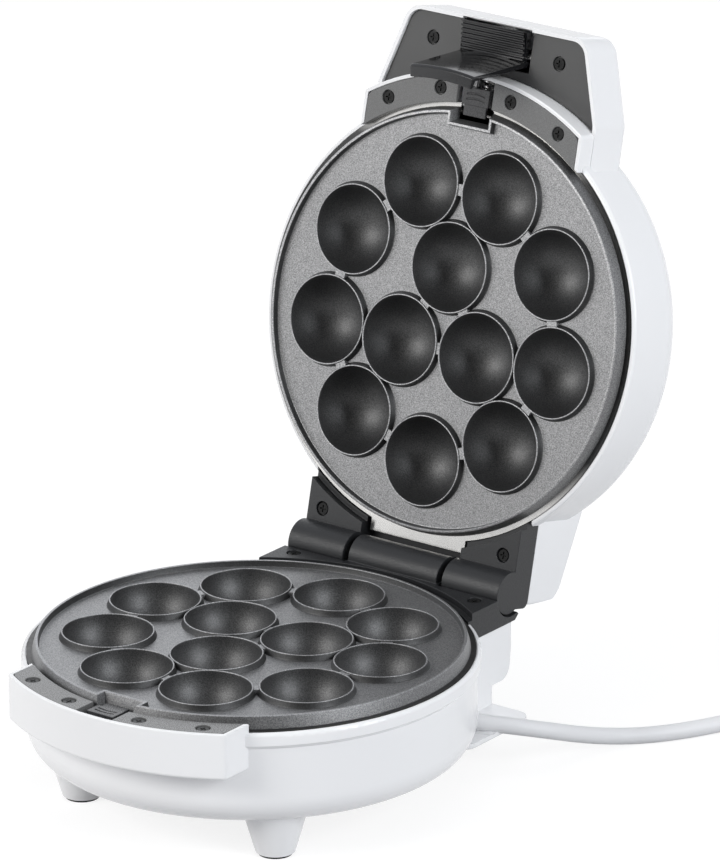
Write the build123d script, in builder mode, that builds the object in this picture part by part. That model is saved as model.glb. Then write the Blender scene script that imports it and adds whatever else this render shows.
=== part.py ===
"""Cake pop maker: two hinged non-stick baking plates with twelve ball cavities each.

Millimetres, +Z up, the handle side faces -Y, the hinge lies along X behind the plates.
The lid's pieces are drawn closed over the base, then swung open about the hinge.
"""

import math
import os

from build123d import *

# ---------------------------------------------------------------- driving dimensions
# baking plates: a cake pop of 38 mm, nine balls round three
ball_radius = 19.0
outer_ring_radius = 60.7
outer_ring_balls = 9
inner_ring_radius = 23.5
inner_ring_balls = 3
plate_top_radius = 90.5
plate_foot_radius = 92.0
plate_edge_height = 5.2
plate_floor_depth = 2.8
plate_gap = 0.15
cup_radius = 21.1
cup_knee = 12.0
cup_knee_radius = 18.6
cup_depth = 21.1

# where the plates stand: the parting plane between base and lid
plate_centre_y = -45.0
parting_height = 68.2

# housings
lip_top = 5.6
lip_radius = 96.4
wall_radius = 94.8
wall_thickness = 2.4
shell_round = 13.0
base_depth = 48.4
lid_depth = 45.5

# handle bands and inserts, concentric with the plates
band_radius = 107.0
band_wall = 1.6
band_top = 1.85
band_bottom = 22.0
band_half_width = 57.2
band_corner = 2.2
band_edge_round = 0.5
band_underside_round = 1.5
insert_inner_radius = 93.7
insert_thickness = 3.4
insert_gap_half = 9.3
insert_screw_radius = 99.9
insert_screw_angles = (10.6, 26.6)

# hinge
hinge_back = 106.7
hinge_drop = 1.4
open_angle = 103.6
barrel_radius = 9.25
pin_radius = 2.5
block_half_width = 57.0
lid_housing_half_width = block_half_width - 1
block_front = 74.1
block_top = 1.5
block_inner_radius = 96.9
block_depth = 14.0

# latch, on the lid
latch_pivot = (-117.0, 14.6)
latch_half_angle = 8.6
latch_half_width = 16.4
latch_pin_radius = 1.5

# screws: thread, way through a cover, head and its counterbore
thread_radius = 1.45
screw_way = 1.7
head_radius = 2.5
counterbore_radius = 3.15
counterbore_depth = 1.8
cross_width = 0.6
cross_depth = 0.8

# cord
cord_diameter = 7.2
cord_radius = cord_diameter / 2

# ---------------------------------------------------------------- frames
centre = Vector(0, plate_centre_y, parting_height)
parting = Plane(origin=centre, x_dir=(1, 0, 0), z_dir=(0, 0, 1))
front_view = Plane(origin=centre, x_dir=(1, 0, 0), z_dir=(0, -1, 0))
side_view = Plane(origin=centre, x_dir=(0, 1, 0), z_dir=(1, 0, 0))
plate_axis = Axis(centre, (0, 0, 1))
hinge_axis = Axis(centre + Vector(0, hinge_back, -hinge_drop), (1, 0, 0))

os.makedirs("parts", exist_ok=True)


def save(piece, name):
    """Write one finished piece of the base."""
    piece.label = name
    export_step(piece, f"parts/{name}.step")


def save_on_lid(piece, name):
    """Swing a piece of the lid, drawn closed, to its open place and write it."""
    save(piece.rotate(hinge_axis, -open_angle), name)


def turned_over(piece):
    """The lid's twin of a base piece: its mirror image in the parting plane."""
    return mirror(piece, about=parting)


def ring_points(radius, angles):
    """Places on a circle round the plates' centre, the angle taken from the front."""
    return [
        (radius * math.sin(math.radians(a)), -radius * math.cos(math.radians(a))) for a in angles
    ]


# ---------------------------------------------------------------- baking plates
outer_angles = [180 + 360 / outer_ring_balls * k for k in range(outer_ring_balls)]
inner_angles = [360 / inner_ring_balls * k for k in range(inner_ring_balls)]
ball_places = ring_points(outer_ring_radius, outer_angles) + ring_points(inner_ring_radius, inner_angles)

cup_shoulder = plate_floor_depth + 0.5
cup_upper_taper = math.degrees(math.atan((cup_radius - cup_knee_radius) / (cup_knee - cup_shoulder)))
cup_lower_taper = 51.4
rim_foot_radius = 21.0
rim_radius = 20.2
rim_shoulder = 0.6
edge_lip_width = 2.4
edge_lip_depth = plate_gap + 0.2
plate_skin = 2.5
notch_half_width = 8.7
notch_radius = 86.4
tongue_half_width = 7.8
tongue_top = 4.7
tongue_thickness = 2.0
web_width = 5.0
web_length = 4.4
web_reach = 42.0


def neighbouring_pairs(places, reach):
    """Pairs of places closer than reach."""
    pairs = []
    for i, (xa, ya) in enumerate(places):
        for xb, yb in places[i + 1:]:
            if math.hypot(xa - xb, ya - yb) < reach:
                pairs.append(((xa, ya), (xb, yb)))
    return pairs


def baking_plate():
    """A round cast plate: raised edge, twelve cups with raised rims, a notch for the clip."""
    floor = -plate_floor_depth
    with BuildPart() as plate:
        with BuildSketch(front_view):
            with BuildLine():
                Polyline(
                    (0, floor),
                    (plate_top_radius - edge_lip_width - 0.6, floor),
                    (plate_top_radius - edge_lip_width, -edge_lip_depth),
                    (plate_top_radius - 0.3, -edge_lip_depth),
                    (plate_foot_radius, -plate_edge_height),
                    (plate_foot_radius - 3.4, -plate_edge_height),
                    (plate_top_radius - edge_lip_width - 1.4, floor - plate_skin),
                    (0, floor - plate_skin),
                    (0, floor),
                )
            make_face()
        revolve(axis=plate_axis)
        # cups hang below the floor, rims stand above it
        for x, y in ball_places:
            with BuildSketch(parting.offset(-cup_shoulder)):
                with Locations((x, y)):
                    Circle(cup_radius)
            extrude(amount=-(cup_knee - cup_shoulder), taper=cup_upper_taper)
            with BuildSketch(parting.offset(-cup_knee)):
                with Locations((x, y)):
                    Circle(cup_knee_radius)
            extrude(amount=-(cup_depth - cup_knee), taper=cup_lower_taper)
            with BuildSketch(parting.offset(floor)):
                with Locations((x, y)):
                    Circle(rim_foot_radius)
            extrude(amount=plate_floor_depth - rim_shoulder, taper=20)
            with BuildSketch(parting.offset(-rim_shoulder)):
                with Locations((x, y)):
                    Circle(rim_radius)
            extrude(amount=rim_shoulder - plate_gap, taper=48)
        # flat webs join the rims that all but touch
        for (xa, ya), (xb, yb) in neighbouring_pairs(ball_places, web_reach):
            bearing = math.degrees(math.atan2(yb - ya, xb - xa))
            with BuildSketch(parting.offset(floor)):
                with Locations(Location(((xa + xb) / 2, (ya + yb) / 2, 0), (0, 0, bearing))):
                    Rectangle(web_length, web_width)
            extrude(amount=plate_floor_depth - rim_shoulder - 0.1)
        # the ball cavities
        for x, y in ball_places:
            with Locations(centre + Vector(x, y, -plate_gap)):
                Sphere(ball_radius, mode=Mode.SUBTRACT)
        # the edge lip turns in round the notch for the clip
        with BuildSketch(parting.offset(floor)):
            with Locations((0, -notch_radius + edge_lip_width)):
                Rectangle(
                    2 * (notch_half_width + edge_lip_width), 12, align=(Align.CENTER, Align.MAX)
                )
            Circle(plate_top_radius - 1.0, mode=Mode.INTERSECT)
        extrude(amount=-edge_lip_depth - floor)
        # the notch in the edge and the tongue that the release clip holds down
        with BuildSketch(parting.offset(0.5)):
            with Locations((0, -notch_radius)):
                Rectangle(2 * notch_half_width, 12, align=(Align.CENTER, Align.MAX))
        extrude(amount=-plate_edge_height - 1, mode=Mode.SUBTRACT)
        with BuildSketch(parting.offset(-tongue_top)):
            with Locations((0, -notch_radius + 1.0)):
                Rectangle(2 * tongue_half_width, 6.2, align=(Align.CENTER, Align.MAX))
        extrude(amount=-tongue_thickness)
    return plate.part


# ---------------------------------------------------------------- reflector dishes
sheet = 0.8
dish_ring_outer = 94.2
dish_wall_top = 90.6
dish_wall_bottom = 85.0
dish_bottom = 27.0
element_radius = 42.1
element_depth = 17.4
element_tube_radius = 3.25
element_leg_angle = 168.0
leg_hole_radius = 4.6
dish_tab_half_width = 25.0
dish_tab_back = 96.3


def reflector():
    """A spun sheet-metal dish that carries the plate on its rim and throws the heat back."""
    rim = -plate_edge_height - 0.05
    with BuildPart() as dish:
        with BuildSketch(front_view):
            with BuildLine():
                Polyline(
                    (dish_ring_outer, rim),
                    (dish_wall_top - sheet, rim),
                    (dish_wall_bottom - sheet, -dish_bottom),
                    (0, -dish_bottom),
                    (0, -dish_bottom - sheet),
                    (dish_wall_bottom, -dish_bottom - sheet),
                    (dish_wall_top, rim - sheet),
                    (dish_ring_outer, rim - sheet),
                    (dish_ring_outer, rim),
                )
            make_face()
        revolve(axis=plate_axis)
        # a flat tab reaches back between the hinge ears
        with BuildSketch(parting.offset(rim)):
            with Locations((0, dish_tab_back)):
                Rectangle(2 * dish_tab_half_width, 6.6, align=(Align.CENTER, Align.MAX))
        extrude(amount=-sheet)
        # the clip's gap at the front, holes for the element's legs and the fixings
        with BuildSketch(parting.offset(rim + 1)):
            with Locations((0, -notch_radius + 2)):
                Rectangle(2 * notch_half_width, 12, align=(Align.CENTER, Align.MAX))
        extrude(amount=-4, mode=Mode.SUBTRACT)
        with BuildSketch(parting.offset(-dish_bottom + 1)):
            with Locations(*ring_points(element_radius, (element_leg_angle, -element_leg_angle))):
                Circle(leg_hole_radius)
            with PolarLocations(60, 3, start_angle=30):
                Circle(1.7)
        extrude(amount=-3, mode=Mode.SUBTRACT)
    return dish.part


def heating_element():
    """A tubular element: one ring between the two rows of cups, both ends bent away."""
    bend = 8.0
    leg = 10.0
    sweep_half = math.radians(element_leg_angle) - bend / element_radius
    level = centre + Vector(0, 0, -element_depth)
    down = Vector(0, 0, -1)
    first = level + Vector(math.sin(sweep_half), -math.cos(sweep_half)) * element_radius
    last = level + Vector(-math.sin(sweep_half), -math.cos(sweep_half)) * element_radius
    with BuildPart() as element:
        with BuildLine():
            ring = ThreePointArc(first, level + Vector(0, -element_radius), last)
            ahead = ring % 1
            back = (ring % 0) * -1
            last_knee = last + ahead * bend + down * bend
            first_knee = first + back * bend + down * bend
            TangentArc(last, last_knee, tangent=ahead)
            Line(last_knee, last_knee + down * leg)
            TangentArc(first, first_knee, tangent=back)
            Line(first_knee, first_knee + down * leg)
        with BuildSketch(Plane(origin=first_knee + down * leg, z_dir=(0, 0, 1))):
            Circle(element_tube_radius)
        sweep()
        # bare terminal stubs
        for knee in (first_knee, last_knee):
            with BuildSketch(Plane(origin=knee + down * leg, z_dir=(0, 0, -1))):
                Circle(1.3)
            extrude(amount=6)
    return element.part


# ---------------------------------------------------------------- housings
flange_inner_radius = 71.5
cover_thickness = 2.6
foot_place = (51.3, -50.7)
rear_foot_place = (36.0, 84.0)
foot_tip_radius = 8.4
foot_slope = 16.0
pad_radius = 7.3
pad_height = 2.4
foot_tip = parting_height - 1.2
neck_half_width = 55.0
neck_back = 97.0
block_back = 108.0
block_bottom = 38.6
back_rounding = 2.6
band_post_radius = 3.2
boss_radius = 3.6
cover_radius = 79.0
cover_edge_round = 1.2
foot_clearance = 14.9
wing_half_width = 75.5
wing_length = 46.0
wing_back = 96.0
wing_corner = 6.0
lead_points = [
    (35.6, 55.9, -44.3),
    (88.5, 72.6, -43.7),
    (92.5, 125.0, cord_radius - parting_height),
    (115.4, 149.2, cord_radius - parting_height),
    (134.7, 195.3, cord_radius - parting_height),
    (159.3, 226.8, cord_radius - parting_height),
]
relief_radius = 4.9
relief_tip_radius = 4.4
relief_start = 8.0
relief_end = 33.5


def bowl_outline(depth, opening):
    """Half section of a bowl: bead at the lip, straight wall, round corner, flat end."""
    bead = lip_radius
    inner = wall_radius - wall_thickness
    corner = wall_radius - shell_round
    with BuildLine() as outline:
        Line((dish_ring_outer + 0.4, -lip_top), (bead - 1.4, -lip_top))
        ThreePointArc((bead - 1.4, -lip_top), (bead - 0.35, -lip_top - 0.6), (bead, -lip_top - 2.0))
        Line((bead, -lip_top - 2.0), (bead, -lip_top - 5.4))
        Line((bead, -lip_top - 5.4), (wall_radius, -lip_top - 7.2))
        Line((wall_radius, -lip_top - 7.2), (wall_radius, -depth + shell_round))
        RadiusArc((wall_radius, -depth + shell_round), (corner, -depth), shell_round)
        Line((corner, -depth), (opening, -depth))
        Line((opening, -depth), (opening, -depth + wall_thickness))
        Line((opening, -depth + wall_thickness), (corner, -depth + wall_thickness))
        RadiusArc(
            (corner, -depth + wall_thickness),
            (inner, -depth + shell_round),
            -(shell_round - wall_thickness),
        )
        Line((inner, -depth + shell_round), (inner, -lip_top - 0.6))
        Line((inner, -lip_top - 0.6), (dish_ring_outer + 0.4, -lip_top - 0.6))
        Line((dish_ring_outer + 0.4, -lip_top - 0.6), (dish_ring_outer + 0.4, -lip_top))
    return outline.line


def band_sketch(radius, half_width, height, corner):
    """Segment of a disc in front of the plates, cut off at the band's two ends."""
    with BuildSketch(parting.offset(height)) as plan:
        Circle(radius)
        with Locations((0, 0)):
            Rectangle(2 * half_width, 2 * radius, mode=Mode.INTERSECT)
        with Locations((0, -75.0)):
            Rectangle(4 * radius, 4 * radius, align=(Align.CENTER, Align.MIN), mode=Mode.SUBTRACT)
        front_corners = plan.vertices().filter_by(lambda v: v.Y < -80)
        fillet(front_corners, corner)
    return plan.sketch


def handle_band(height, underside_round):
    """The handle band: an open tray in front of the bowl, with posts for the insert's screws."""
    insert_bottom = band_top + insert_thickness
    with BuildPart() as band:
        add(band_sketch(band_radius, band_half_width, -band_top, band_corner))
        extrude(amount=-(height - band_top))
        outside = band.edges().filter_by(lambda e: e.center().Y < centre.Y - 80)
        fillet(outside.group_by(Axis.Z)[-1], band_edge_round)
        if underside_round > 0:
            fillet(outside.group_by(Axis.Z)[0], underside_round)
        add(band_sketch(band_radius - band_wall, band_half_width - band_wall, 1.0, 0.3))
        extrude(amount=-(height - 1.0), mode=Mode.SUBTRACT)
        with BuildSketch(parting.offset(-height + 1.0)):
            angles = [s * a for a in insert_screw_angles for s in (1, -1)]
            with Locations(*ring_points(insert_screw_radius, angles)):
                Circle(band_post_radius)
        extrude(amount=height - 1.0 - insert_bottom)
        with BuildSketch(parting.offset(-insert_bottom)):
            with Locations(*ring_points(insert_screw_radius, angles)):
                Circle(thread_radius)
        extrude(amount=-12, mode=Mode.SUBTRACT)
        # the bowl's own wall closes the tray at the back
        with BuildSketch(parting):
            Circle(wall_radius - 0.4)
        extrude(amount=-60, mode=Mode.SUBTRACT)
    return band.part


clip_gap_width = 15.0
clip_gap_depth = 15.4


def clip_gap():
    """Room for the release clip across the lip, the wall and the band."""
    with BuildPart() as gap:
        with BuildSketch(parting):
            with Locations((0, -88.0)):
                Rectangle(clip_gap_width, 17.3, align=(Align.CENTER, Align.MAX))
        extrude(amount=-clip_gap_depth)
    return gap.part


def clip_rails(height):
    """Two uprights with ledges that the release clip slides between, on the tray's floor."""
    rail_front = -95.4
    rail_length = 9.8
    with BuildPart() as rails:
        with BuildSketch(parting.offset(-height + 0.7)):
            with Locations((8.4, rail_front), (-8.4, rail_front)):
                Rectangle(1.6, rail_length, align=(Align.CENTER, Align.MAX))
        extrude(amount=height - 0.7 - 5.4)
        with BuildSketch(parting.offset(-10.2)):
            with Locations((6.2, rail_front), (-6.2, rail_front)):
                Rectangle(3.2, rail_length, align=(Align.CENTER, Align.MAX))
        extrude(amount=1.5)
    return rails.part


cover_screw_angles = (20.0, -20.0, 108.0, -108.0)
cover_screw_ring = 75.6
cover_corner_screws = [(49.2, 91.2), (-49.2, 91.2)]
front_feet = [(foot_place[0], foot_place[1]), (-foot_place[0], foot_place[1])]
rear_feet = [(rear_foot_place[0], rear_foot_place[1]), (-rear_foot_place[0], rear_foot_place[1])]


def foot_cones(places, rise):
    """Tapered feet with a recess for the rubber pad, from the tip upward."""
    with BuildPart() as feet:
        with BuildSketch(parting.offset(-foot_tip)):
            with Locations(*places):
                Circle(foot_tip_radius)
        extrude(amount=rise, taper=-foot_slope)
        with BuildSketch(parting.offset(-foot_tip + pad_height + 1.4)):
            with Locations(*places):
                Circle(foot_tip_radius - 1.4)
        extrude(amount=rise - pad_height - 1.4, taper=-foot_slope, mode=Mode.SUBTRACT)
        with BuildSketch(parting.offset(-foot_tip)):
            with Locations(*places):
                Circle(pad_radius)
        extrude(amount=pad_height - 1.2, mode=Mode.SUBTRACT)
    return feet.part


def bowl_room(depth):
    """The space inside a bowl, cleared through whatever is joined to its wall."""
    inner = wall_radius - wall_thickness
    with BuildPart() as room:
        with BuildSketch(front_view):
            with BuildLine():
                Polyline(
                    (0, -lip_top - 0.6),
                    (inner, -lip_top - 0.6),
                    (inner, -depth + shell_round),
                    (wall_radius - shell_round, -depth + wall_thickness),
                    (0, -depth + wall_thickness),
                    (0, -lip_top - 0.6),
                )
            make_face()
        revolve(axis=plate_axis)
    return room.part


def lead_bore(start, end):
    """The round way that the cord's strain relief takes between the bowl and its cover."""
    inner_end = centre + Vector(*lead_points[0])
    direction = (Vector(*lead_points[1]) - Vector(*lead_points[0])).normalized()
    with BuildPart() as bore:
        with BuildSketch(Plane(origin=inner_end + direction * start, z_dir=direction)):
            Circle(relief_radius + 0.1)
        extrude(amount=end - start)
    return bore.part


def hinge_seat(height):
    """Where the lip stops for a black hinge block."""
    with BuildPart() as seat:
        with BuildSketch(parting.offset(-height)):
            with Locations((0, 73.9)):
                Rectangle(2 * block_half_width + 0.4, 60, align=(Align.CENTER, Align.MIN))
        extrude(amount=height + 1)
    return seat.part


hinge_screw_places = [(48.3, 91.8), (-48.3, 91.8)]


def back_corners(half_width, back, rounding):
    """Room with two rounded upright corners at the back, to trim a hinge housing."""
    with BuildPart() as room:
        with BuildSketch(parting.offset(80)):
            with Locations((0, back)):
                RectangleRounded(2 * half_width, 120, rounding, align=(Align.CENTER, Align.MAX))
        extrude(amount=-160)
    return room.part


with BuildPart() as base_block:
    with BuildSketch(side_view.offset(-block_half_width)):
        with BuildLine():
            FilletPolyline(
                (60, -block_depth),
                (block_back, -block_depth),
                (block_back - 3.6, -block_bottom),
                (60, -block_bottom),
                radius=6.5,
                close=True,
            )
        make_face()
    extrude(amount=2 * block_half_width)
    with BuildSketch(parting.offset(-block_depth)):
        with Locations((0, block_back)):
            Rectangle(2 * block_half_width, 12, align=(Align.CENTER, Align.MAX))
    extrude(amount=-8)
    add(back_corners(block_half_width, block_back, back_rounding), mode=Mode.INTERSECT)

with BuildPart() as base_housing:
    with BuildSketch(front_view):
        add(bowl_outline(base_depth, flange_inner_radius))
        make_face()
    revolve(axis=plate_axis)
    # hinge housing and the neck below it, both hollow
    add(base_block.part)
    with BuildSketch(parting.offset(-block_bottom + 1)):
        with Locations((0, neck_back)):
            RectangleRounded(2 * neck_half_width, 37, back_rounding, align=(Align.CENTER, Align.MAX))
    extrude(amount=-(base_depth - block_bottom + 1))
    with BuildSketch(parting.offset(-block_depth + 1)):
        with Locations((0, block_back - 5.6)):
            Rectangle(2 * block_half_width - 5.6, 36, align=(Align.CENTER, Align.MAX))
    extrude(amount=-(block_bottom - block_depth - 1.4), mode=Mode.SUBTRACT)
    with BuildSketch(parting.offset(-block_bottom + 4)):
        with Locations((0, neck_back - wall_thickness)):
            Rectangle(2 * neck_half_width - 4.8, 37, align=(Align.CENTER, Align.MAX))
    extrude(amount=-(base_depth - block_bottom + 5), mode=Mode.SUBTRACT)
    add(bowl_room(base_depth), mode=Mode.SUBTRACT)
    add(hinge_seat(block_depth), mode=Mode.SUBTRACT)
    # posts under the hinge block's screws
    with BuildSketch(parting.offset(-block_depth)):
        with Locations(*hinge_screw_places):
            Circle(boss_radius)
    extrude(amount=-(block_bottom - block_depth - 1.0))
    with BuildSketch(parting.offset(-block_depth)):
        with Locations(*hinge_screw_places):
            Circle(thread_radius)
    extrude(amount=-14, mode=Mode.SUBTRACT)
    add(handle_band(band_bottom, band_underside_round))
    add(clip_gap(), mode=Mode.SUBTRACT)
    add(foot_cones(front_feet, foot_tip - base_depth + wall_thickness))
    # bosses for the bottom cover's screws: four on the bowl, two in the neck's corners
    boss_places = ring_points(cover_screw_ring, cover_screw_angles) + cover_corner_screws
    with BuildSketch(parting.offset(-base_depth)):
        with Locations(*boss_places):
            Circle(boss_radius)
    extrude(amount=9.8)
    with BuildSketch(parting.offset(-base_depth)):
        with Locations(*boss_places):
            Circle(thread_radius)
    extrude(amount=8, mode=Mode.SUBTRACT)
    add(clip_rails(band_bottom))
    add(lead_bore(5.0, 38.0), mode=Mode.SUBTRACT)
save(base_housing.part, "base_housing")

with BuildPart() as bottom_cover:
    with BuildSketch(parting.offset(-base_depth)):
        Circle(cover_radius)
        with Locations((0, wing_back)):
            RectangleRounded(2 * wing_half_width, wing_length, wing_corner, align=(Align.CENTER, Align.MAX))
    extrude(amount=-cover_thickness)
    fillet(bottom_cover.edges().group_by(Axis.Z)[0], cover_edge_round)
    with BuildSketch(parting.offset(-base_depth)):
        with Locations(*front_feet):
            Circle(foot_clearance)
        with Locations(*boss_places):
            Circle(screw_way)
        with Locations(*rear_feet):
            Circle(foot_tip_radius + 2.6)
    extrude(amount=-cover_thickness, mode=Mode.SUBTRACT)
    with BuildSketch(parting.offset(-base_depth - cover_thickness)):
        with Locations(*boss_places):
            Circle(counterbore_radius)
    extrude(amount=1.4, mode=Mode.SUBTRACT)
    add(foot_cones(rear_feet, foot_tip - base_depth - cover_thickness))
    add(lead_bore(-5.0, 42.0), mode=Mode.SUBTRACT)
save(bottom_cover.part, "bottom_cover")

with BuildPart() as foot_pads:
    with BuildSketch(parting.offset(-parting_height)):
        with Locations(*front_feet, *rear_feet):
            Circle(pad_radius - 0.1)
    extrude(amount=pad_height)
save(foot_pads.part, "foot_pads")


# ---------------------------------------------------------------- fasteners
def screws(places, seat, head_height, shank_length, up=1):
    """Cross-head screws whose heads stand on the height seat, above (up=1) or below it."""
    with BuildPart() as group:
        with BuildSketch(parting.offset(seat)):
            with Locations(*places):
                Circle(head_radius)
        extrude(amount=up * head_height)
        with BuildSketch(parting.offset(seat)):
            with Locations(*places):
                Circle(thread_radius - 0.05)
        extrude(amount=-up * shank_length)
        with BuildSketch(parting.offset(seat + up * head_height)):
            with Locations(*places):
                Rectangle(head_radius * 1.25, cross_width)
                Rectangle(cross_width, head_radius * 1.25)
        extrude(amount=-up * cross_depth, mode=Mode.SUBTRACT)
    return group.part


save(screws(boss_places, -base_depth - 1.2, 1.4, 7.4, up=-1), "bottom_screws")


# ---------------------------------------------------------------- handle inserts
insert_outer_radius = band_radius - band_wall - 0.2
insert_half_width = band_half_width - band_wall - 0.2
insert_back = -76.0
insert_corner = 5.0
insert_screws = ring_points(insert_screw_radius, [s * a for s in (1, -1) for a in insert_screw_angles])


def insert_plate(side):
    """One black half of the handle's inlay, with two countersunk screw holes."""
    with BuildPart() as insert:
        with BuildSketch(parting.offset(-band_top)):
            Circle(insert_outer_radius)
            Circle(insert_inner_radius, mode=Mode.SUBTRACT)
            with Locations((side * (insert_gap_half + insert_half_width) / 2, 0)):
                Rectangle(insert_half_width - insert_gap_half, 300, mode=Mode.INTERSECT)
            with Locations((0, insert_back)):
                Rectangle(300, 300, align=(Align.CENTER, Align.MIN), mode=Mode.SUBTRACT)
        extrude(amount=-insert_thickness + 0.1)
        upright = insert.edges().filter_by(Axis.Z)
        outer_end = upright.sort_by(lambda e: side * e.center().X - e.center().Y)[-1]
        fillet(outer_end, insert_corner)
        with BuildSketch(parting.offset(-band_top)):
            with Locations(*[p for p in insert_screws if p[0] * side > 0]):
                Circle(counterbore_radius)
        extrude(amount=-counterbore_depth, mode=Mode.SUBTRACT)
        with BuildSketch(parting.offset(-band_top)):
            with Locations(*[p for p in insert_screws if p[0] * side > 0]):
                Circle(screw_way)
        extrude(amount=-6, mode=Mode.SUBTRACT)
    return insert.part


right_insert = insert_plate(1)
left_insert = insert_plate(-1)
save(right_insert, "base_insert_right")
save(left_insert, "base_insert_left")
insert_screw_group = screws(insert_screws, -band_top - counterbore_depth, 1.3, 9.0)
save(insert_screw_group, "base_insert_screws")

# ---------------------------------------------------------------- plates, dishes, elements
plate = baking_plate()
dish = reflector()
element = heating_element()
save(plate, "base_baking_plate")
save(dish, "base_reflector")
save(element, "base_heating_element")

# ---------------------------------------------------------------- release clips
clip_half_width = 6.9
clip_top = 2.6
clip_foot = 8.5
groove_radius = 16.0
groove_width = 0.7
spring_wire = 0.7
spring_radius = 2.6


def plate_clip():
    """The sliding clip that holds the plate's tongue down: finger tab, nose and leg."""
    with BuildPart() as clip:
        with BuildSketch(parting.offset(-clip_top)):
            with Locations((0, -93.4)):
                Rectangle(2 * clip_half_width, 7.5, align=(Align.CENTER, Align.MAX))
        extrude(amount=-(clip_foot - clip_top))
        with BuildSketch(parting.offset(-clip_top - 0.5)):
            with Locations((0, -88.6)):
                Rectangle(11.6, 6, align=(Align.CENTER, Align.MAX))
        extrude(amount=-1.5)
        with BuildSketch(parting.offset(-clip_foot + 0.5)):
            with Locations((0, -93.4)):
                Rectangle(8.0, 2.0, align=(Align.CENTER, Align.MAX))
        extrude(amount=-7.0)
        # two bowed finger grooves across the tab
        for nearest in (96.0, 98.2):
            with BuildSketch(parting.offset(-clip_top)):
                with Locations((0, groove_radius - nearest)):
                    Circle(groove_radius + groove_width)
                    Circle(groove_radius, mode=Mode.SUBTRACT)
                with Locations((0, -nearest)):
                    Rectangle(9.6, 5.0, mode=Mode.INTERSECT)
            extrude(amount=-0.5, mode=Mode.SUBTRACT)
    return clip.part


def coil_spring(start, direction, length, radius, turns):
    """A compression spring of square wire, standing on start and reaching length along direction."""
    base = Plane(origin=start + direction * (spring_wire / 2 + 0.05), z_dir=direction)
    height = length - spring_wire - 0.1
    with BuildPart() as spring:
        with BuildLine():
            wire = Helix(
                pitch=height / turns, height=height, radius=radius, center=base.origin, direction=direction
            )
        outward = (wire @ 0) - base.origin
        with BuildSketch(Plane(origin=wire @ 0, x_dir=outward, z_dir=wire % 0)):
            Rectangle(spring_wire, spring_wire)
        sweep(is_frenet=True)
    return spring.part


clip = plate_clip()
spring_level = -12.1
clip_spring = coil_spring(
    centre + Vector(0, -95.4, spring_level),
    Vector(0, -1, 0),
    band_radius - band_wall - 95.4,
    spring_radius,
    4,
)
save(clip, "base_plate_clip")
save(clip_spring, "base_clip_spring")

# ---------------------------------------------------------------- hinge, base half
cradle_radius = barrel_radius + 0.75
middle_radius = 9.0
middle_half_width = 23.5
ear_inner = 26.5
barrel_end = lid_housing_half_width
pin_start = 0.5 - barrel_end
pin_end = 52.5
tail_tip = 111.8
stop_place = 40.0
stop_width = 18.0
bore_radius = pin_radius + 0.05


def hinge_round(radius, inner, outer):
    """A round bar about the hinge axis from x = inner to x = outer."""
    with BuildPart() as bar:
        with BuildSketch(side_view.offset(inner)):
            with Locations((hinge_back, -hinge_drop)):
                Circle(radius)
        extrude(amount=outer - inner)
    return bar.part


def bowl_front(clear_radius, step_radius, wall, step_height, wall_height, depth):
    """What the dish, its edge and the bowl's room take from a black hinge block."""
    with BuildPart() as front:
        with BuildSketch(parting.offset(1)):
            Circle(clear_radius)
        extrude(amount=-(step_height + 1))
        with BuildSketch(parting.offset(-step_height)):
            Circle(step_radius)
        extrude(amount=-(wall_height - step_height))
        with BuildSketch(parting.offset(-wall_height)):
            Circle(wall)
        extrude(amount=-(depth - wall_height))
    return front.part


with BuildPart() as base_hinge_block:
    with BuildSketch(side_view.offset(-block_half_width)):
        with BuildLine():
            Polyline(
                (block_front, -block_top),
                (101.0, -block_top),
                (tail_tip, -11.7),
                (tail_tip - 2.6, -block_depth),
                (block_front, -block_depth),
                (block_front, -block_top),
            )
        make_face()
    extrude(amount=2 * block_half_width)
    add(hinge_round(middle_radius, -middle_half_width, middle_half_width))
    for side in (1, -1):
        ends = sorted((side * (middle_half_width + 1.1), side * 80))
        add(hinge_round(cradle_radius, *ends), mode=Mode.SUBTRACT)
    # two stops that the open lid comes to rest on
    with BuildSketch(parting.offset(-12.0)):
        with Locations((stop_place, tail_tip - 0.4), (-stop_place, tail_tip - 0.4)):
            Rectangle(stop_width, 0.8)
    extrude(amount=12.0 - hinge_drop - 9.0)
    add(hinge_round(bore_radius, -30, 30), mode=Mode.SUBTRACT)
    add(bowl_front(block_inner_radius, 94.6, 93.0, 4.5, 6.2, 20), mode=Mode.SUBTRACT)
    with BuildSketch(parting.offset(-4.5)):
        with Locations((0, dish_tab_back + 0.4)):
            Rectangle(2 * dish_tab_half_width + 0.8, 12, align=(Align.CENTER, Align.MAX))
    extrude(amount=-1.7, mode=Mode.SUBTRACT)
    with BuildSketch(parting.offset(-block_top)):
        with Locations(*hinge_screw_places):
            Circle(counterbore_radius)
    extrude(amount=-2.0, mode=Mode.SUBTRACT)
    with BuildSketch(parting.offset(-block_top)):
        with Locations(*hinge_screw_places):
            Circle(screw_way)
    extrude(amount=-20, mode=Mode.SUBTRACT)
save(base_hinge_block.part, "base_hinge_block")
hinge_screw_group = screws(hinge_screw_places, -block_top - 2.0, 1.5, 20.0)
save(hinge_screw_group, "base_hinge_screws")
save(hinge_round(pin_radius, pin_start, pin_end), "hinge_pin")

# ---------------------------------------------------------------- lid housing
lid_seat = 13.0
lid_block_front = 70.0
lid_housing_back = 113.0
handle_rim = 11.0
handle_half_width = band_half_width + 0.3
handle_depth = 35.0
handle_end = -130.0
handle_wall = 1.8
handle_corner = 9.0
cover_inset = 12.5
lid_cover_thickness = 2.4
lid_tray_depth = 13.4
lens_places = [(9.0, -60.0), (-9.0, -60.0)]
lens_radius = 3.5
cover_screw_places = [(33.2, -117.3), (-33.2, -117.3)]


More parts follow.
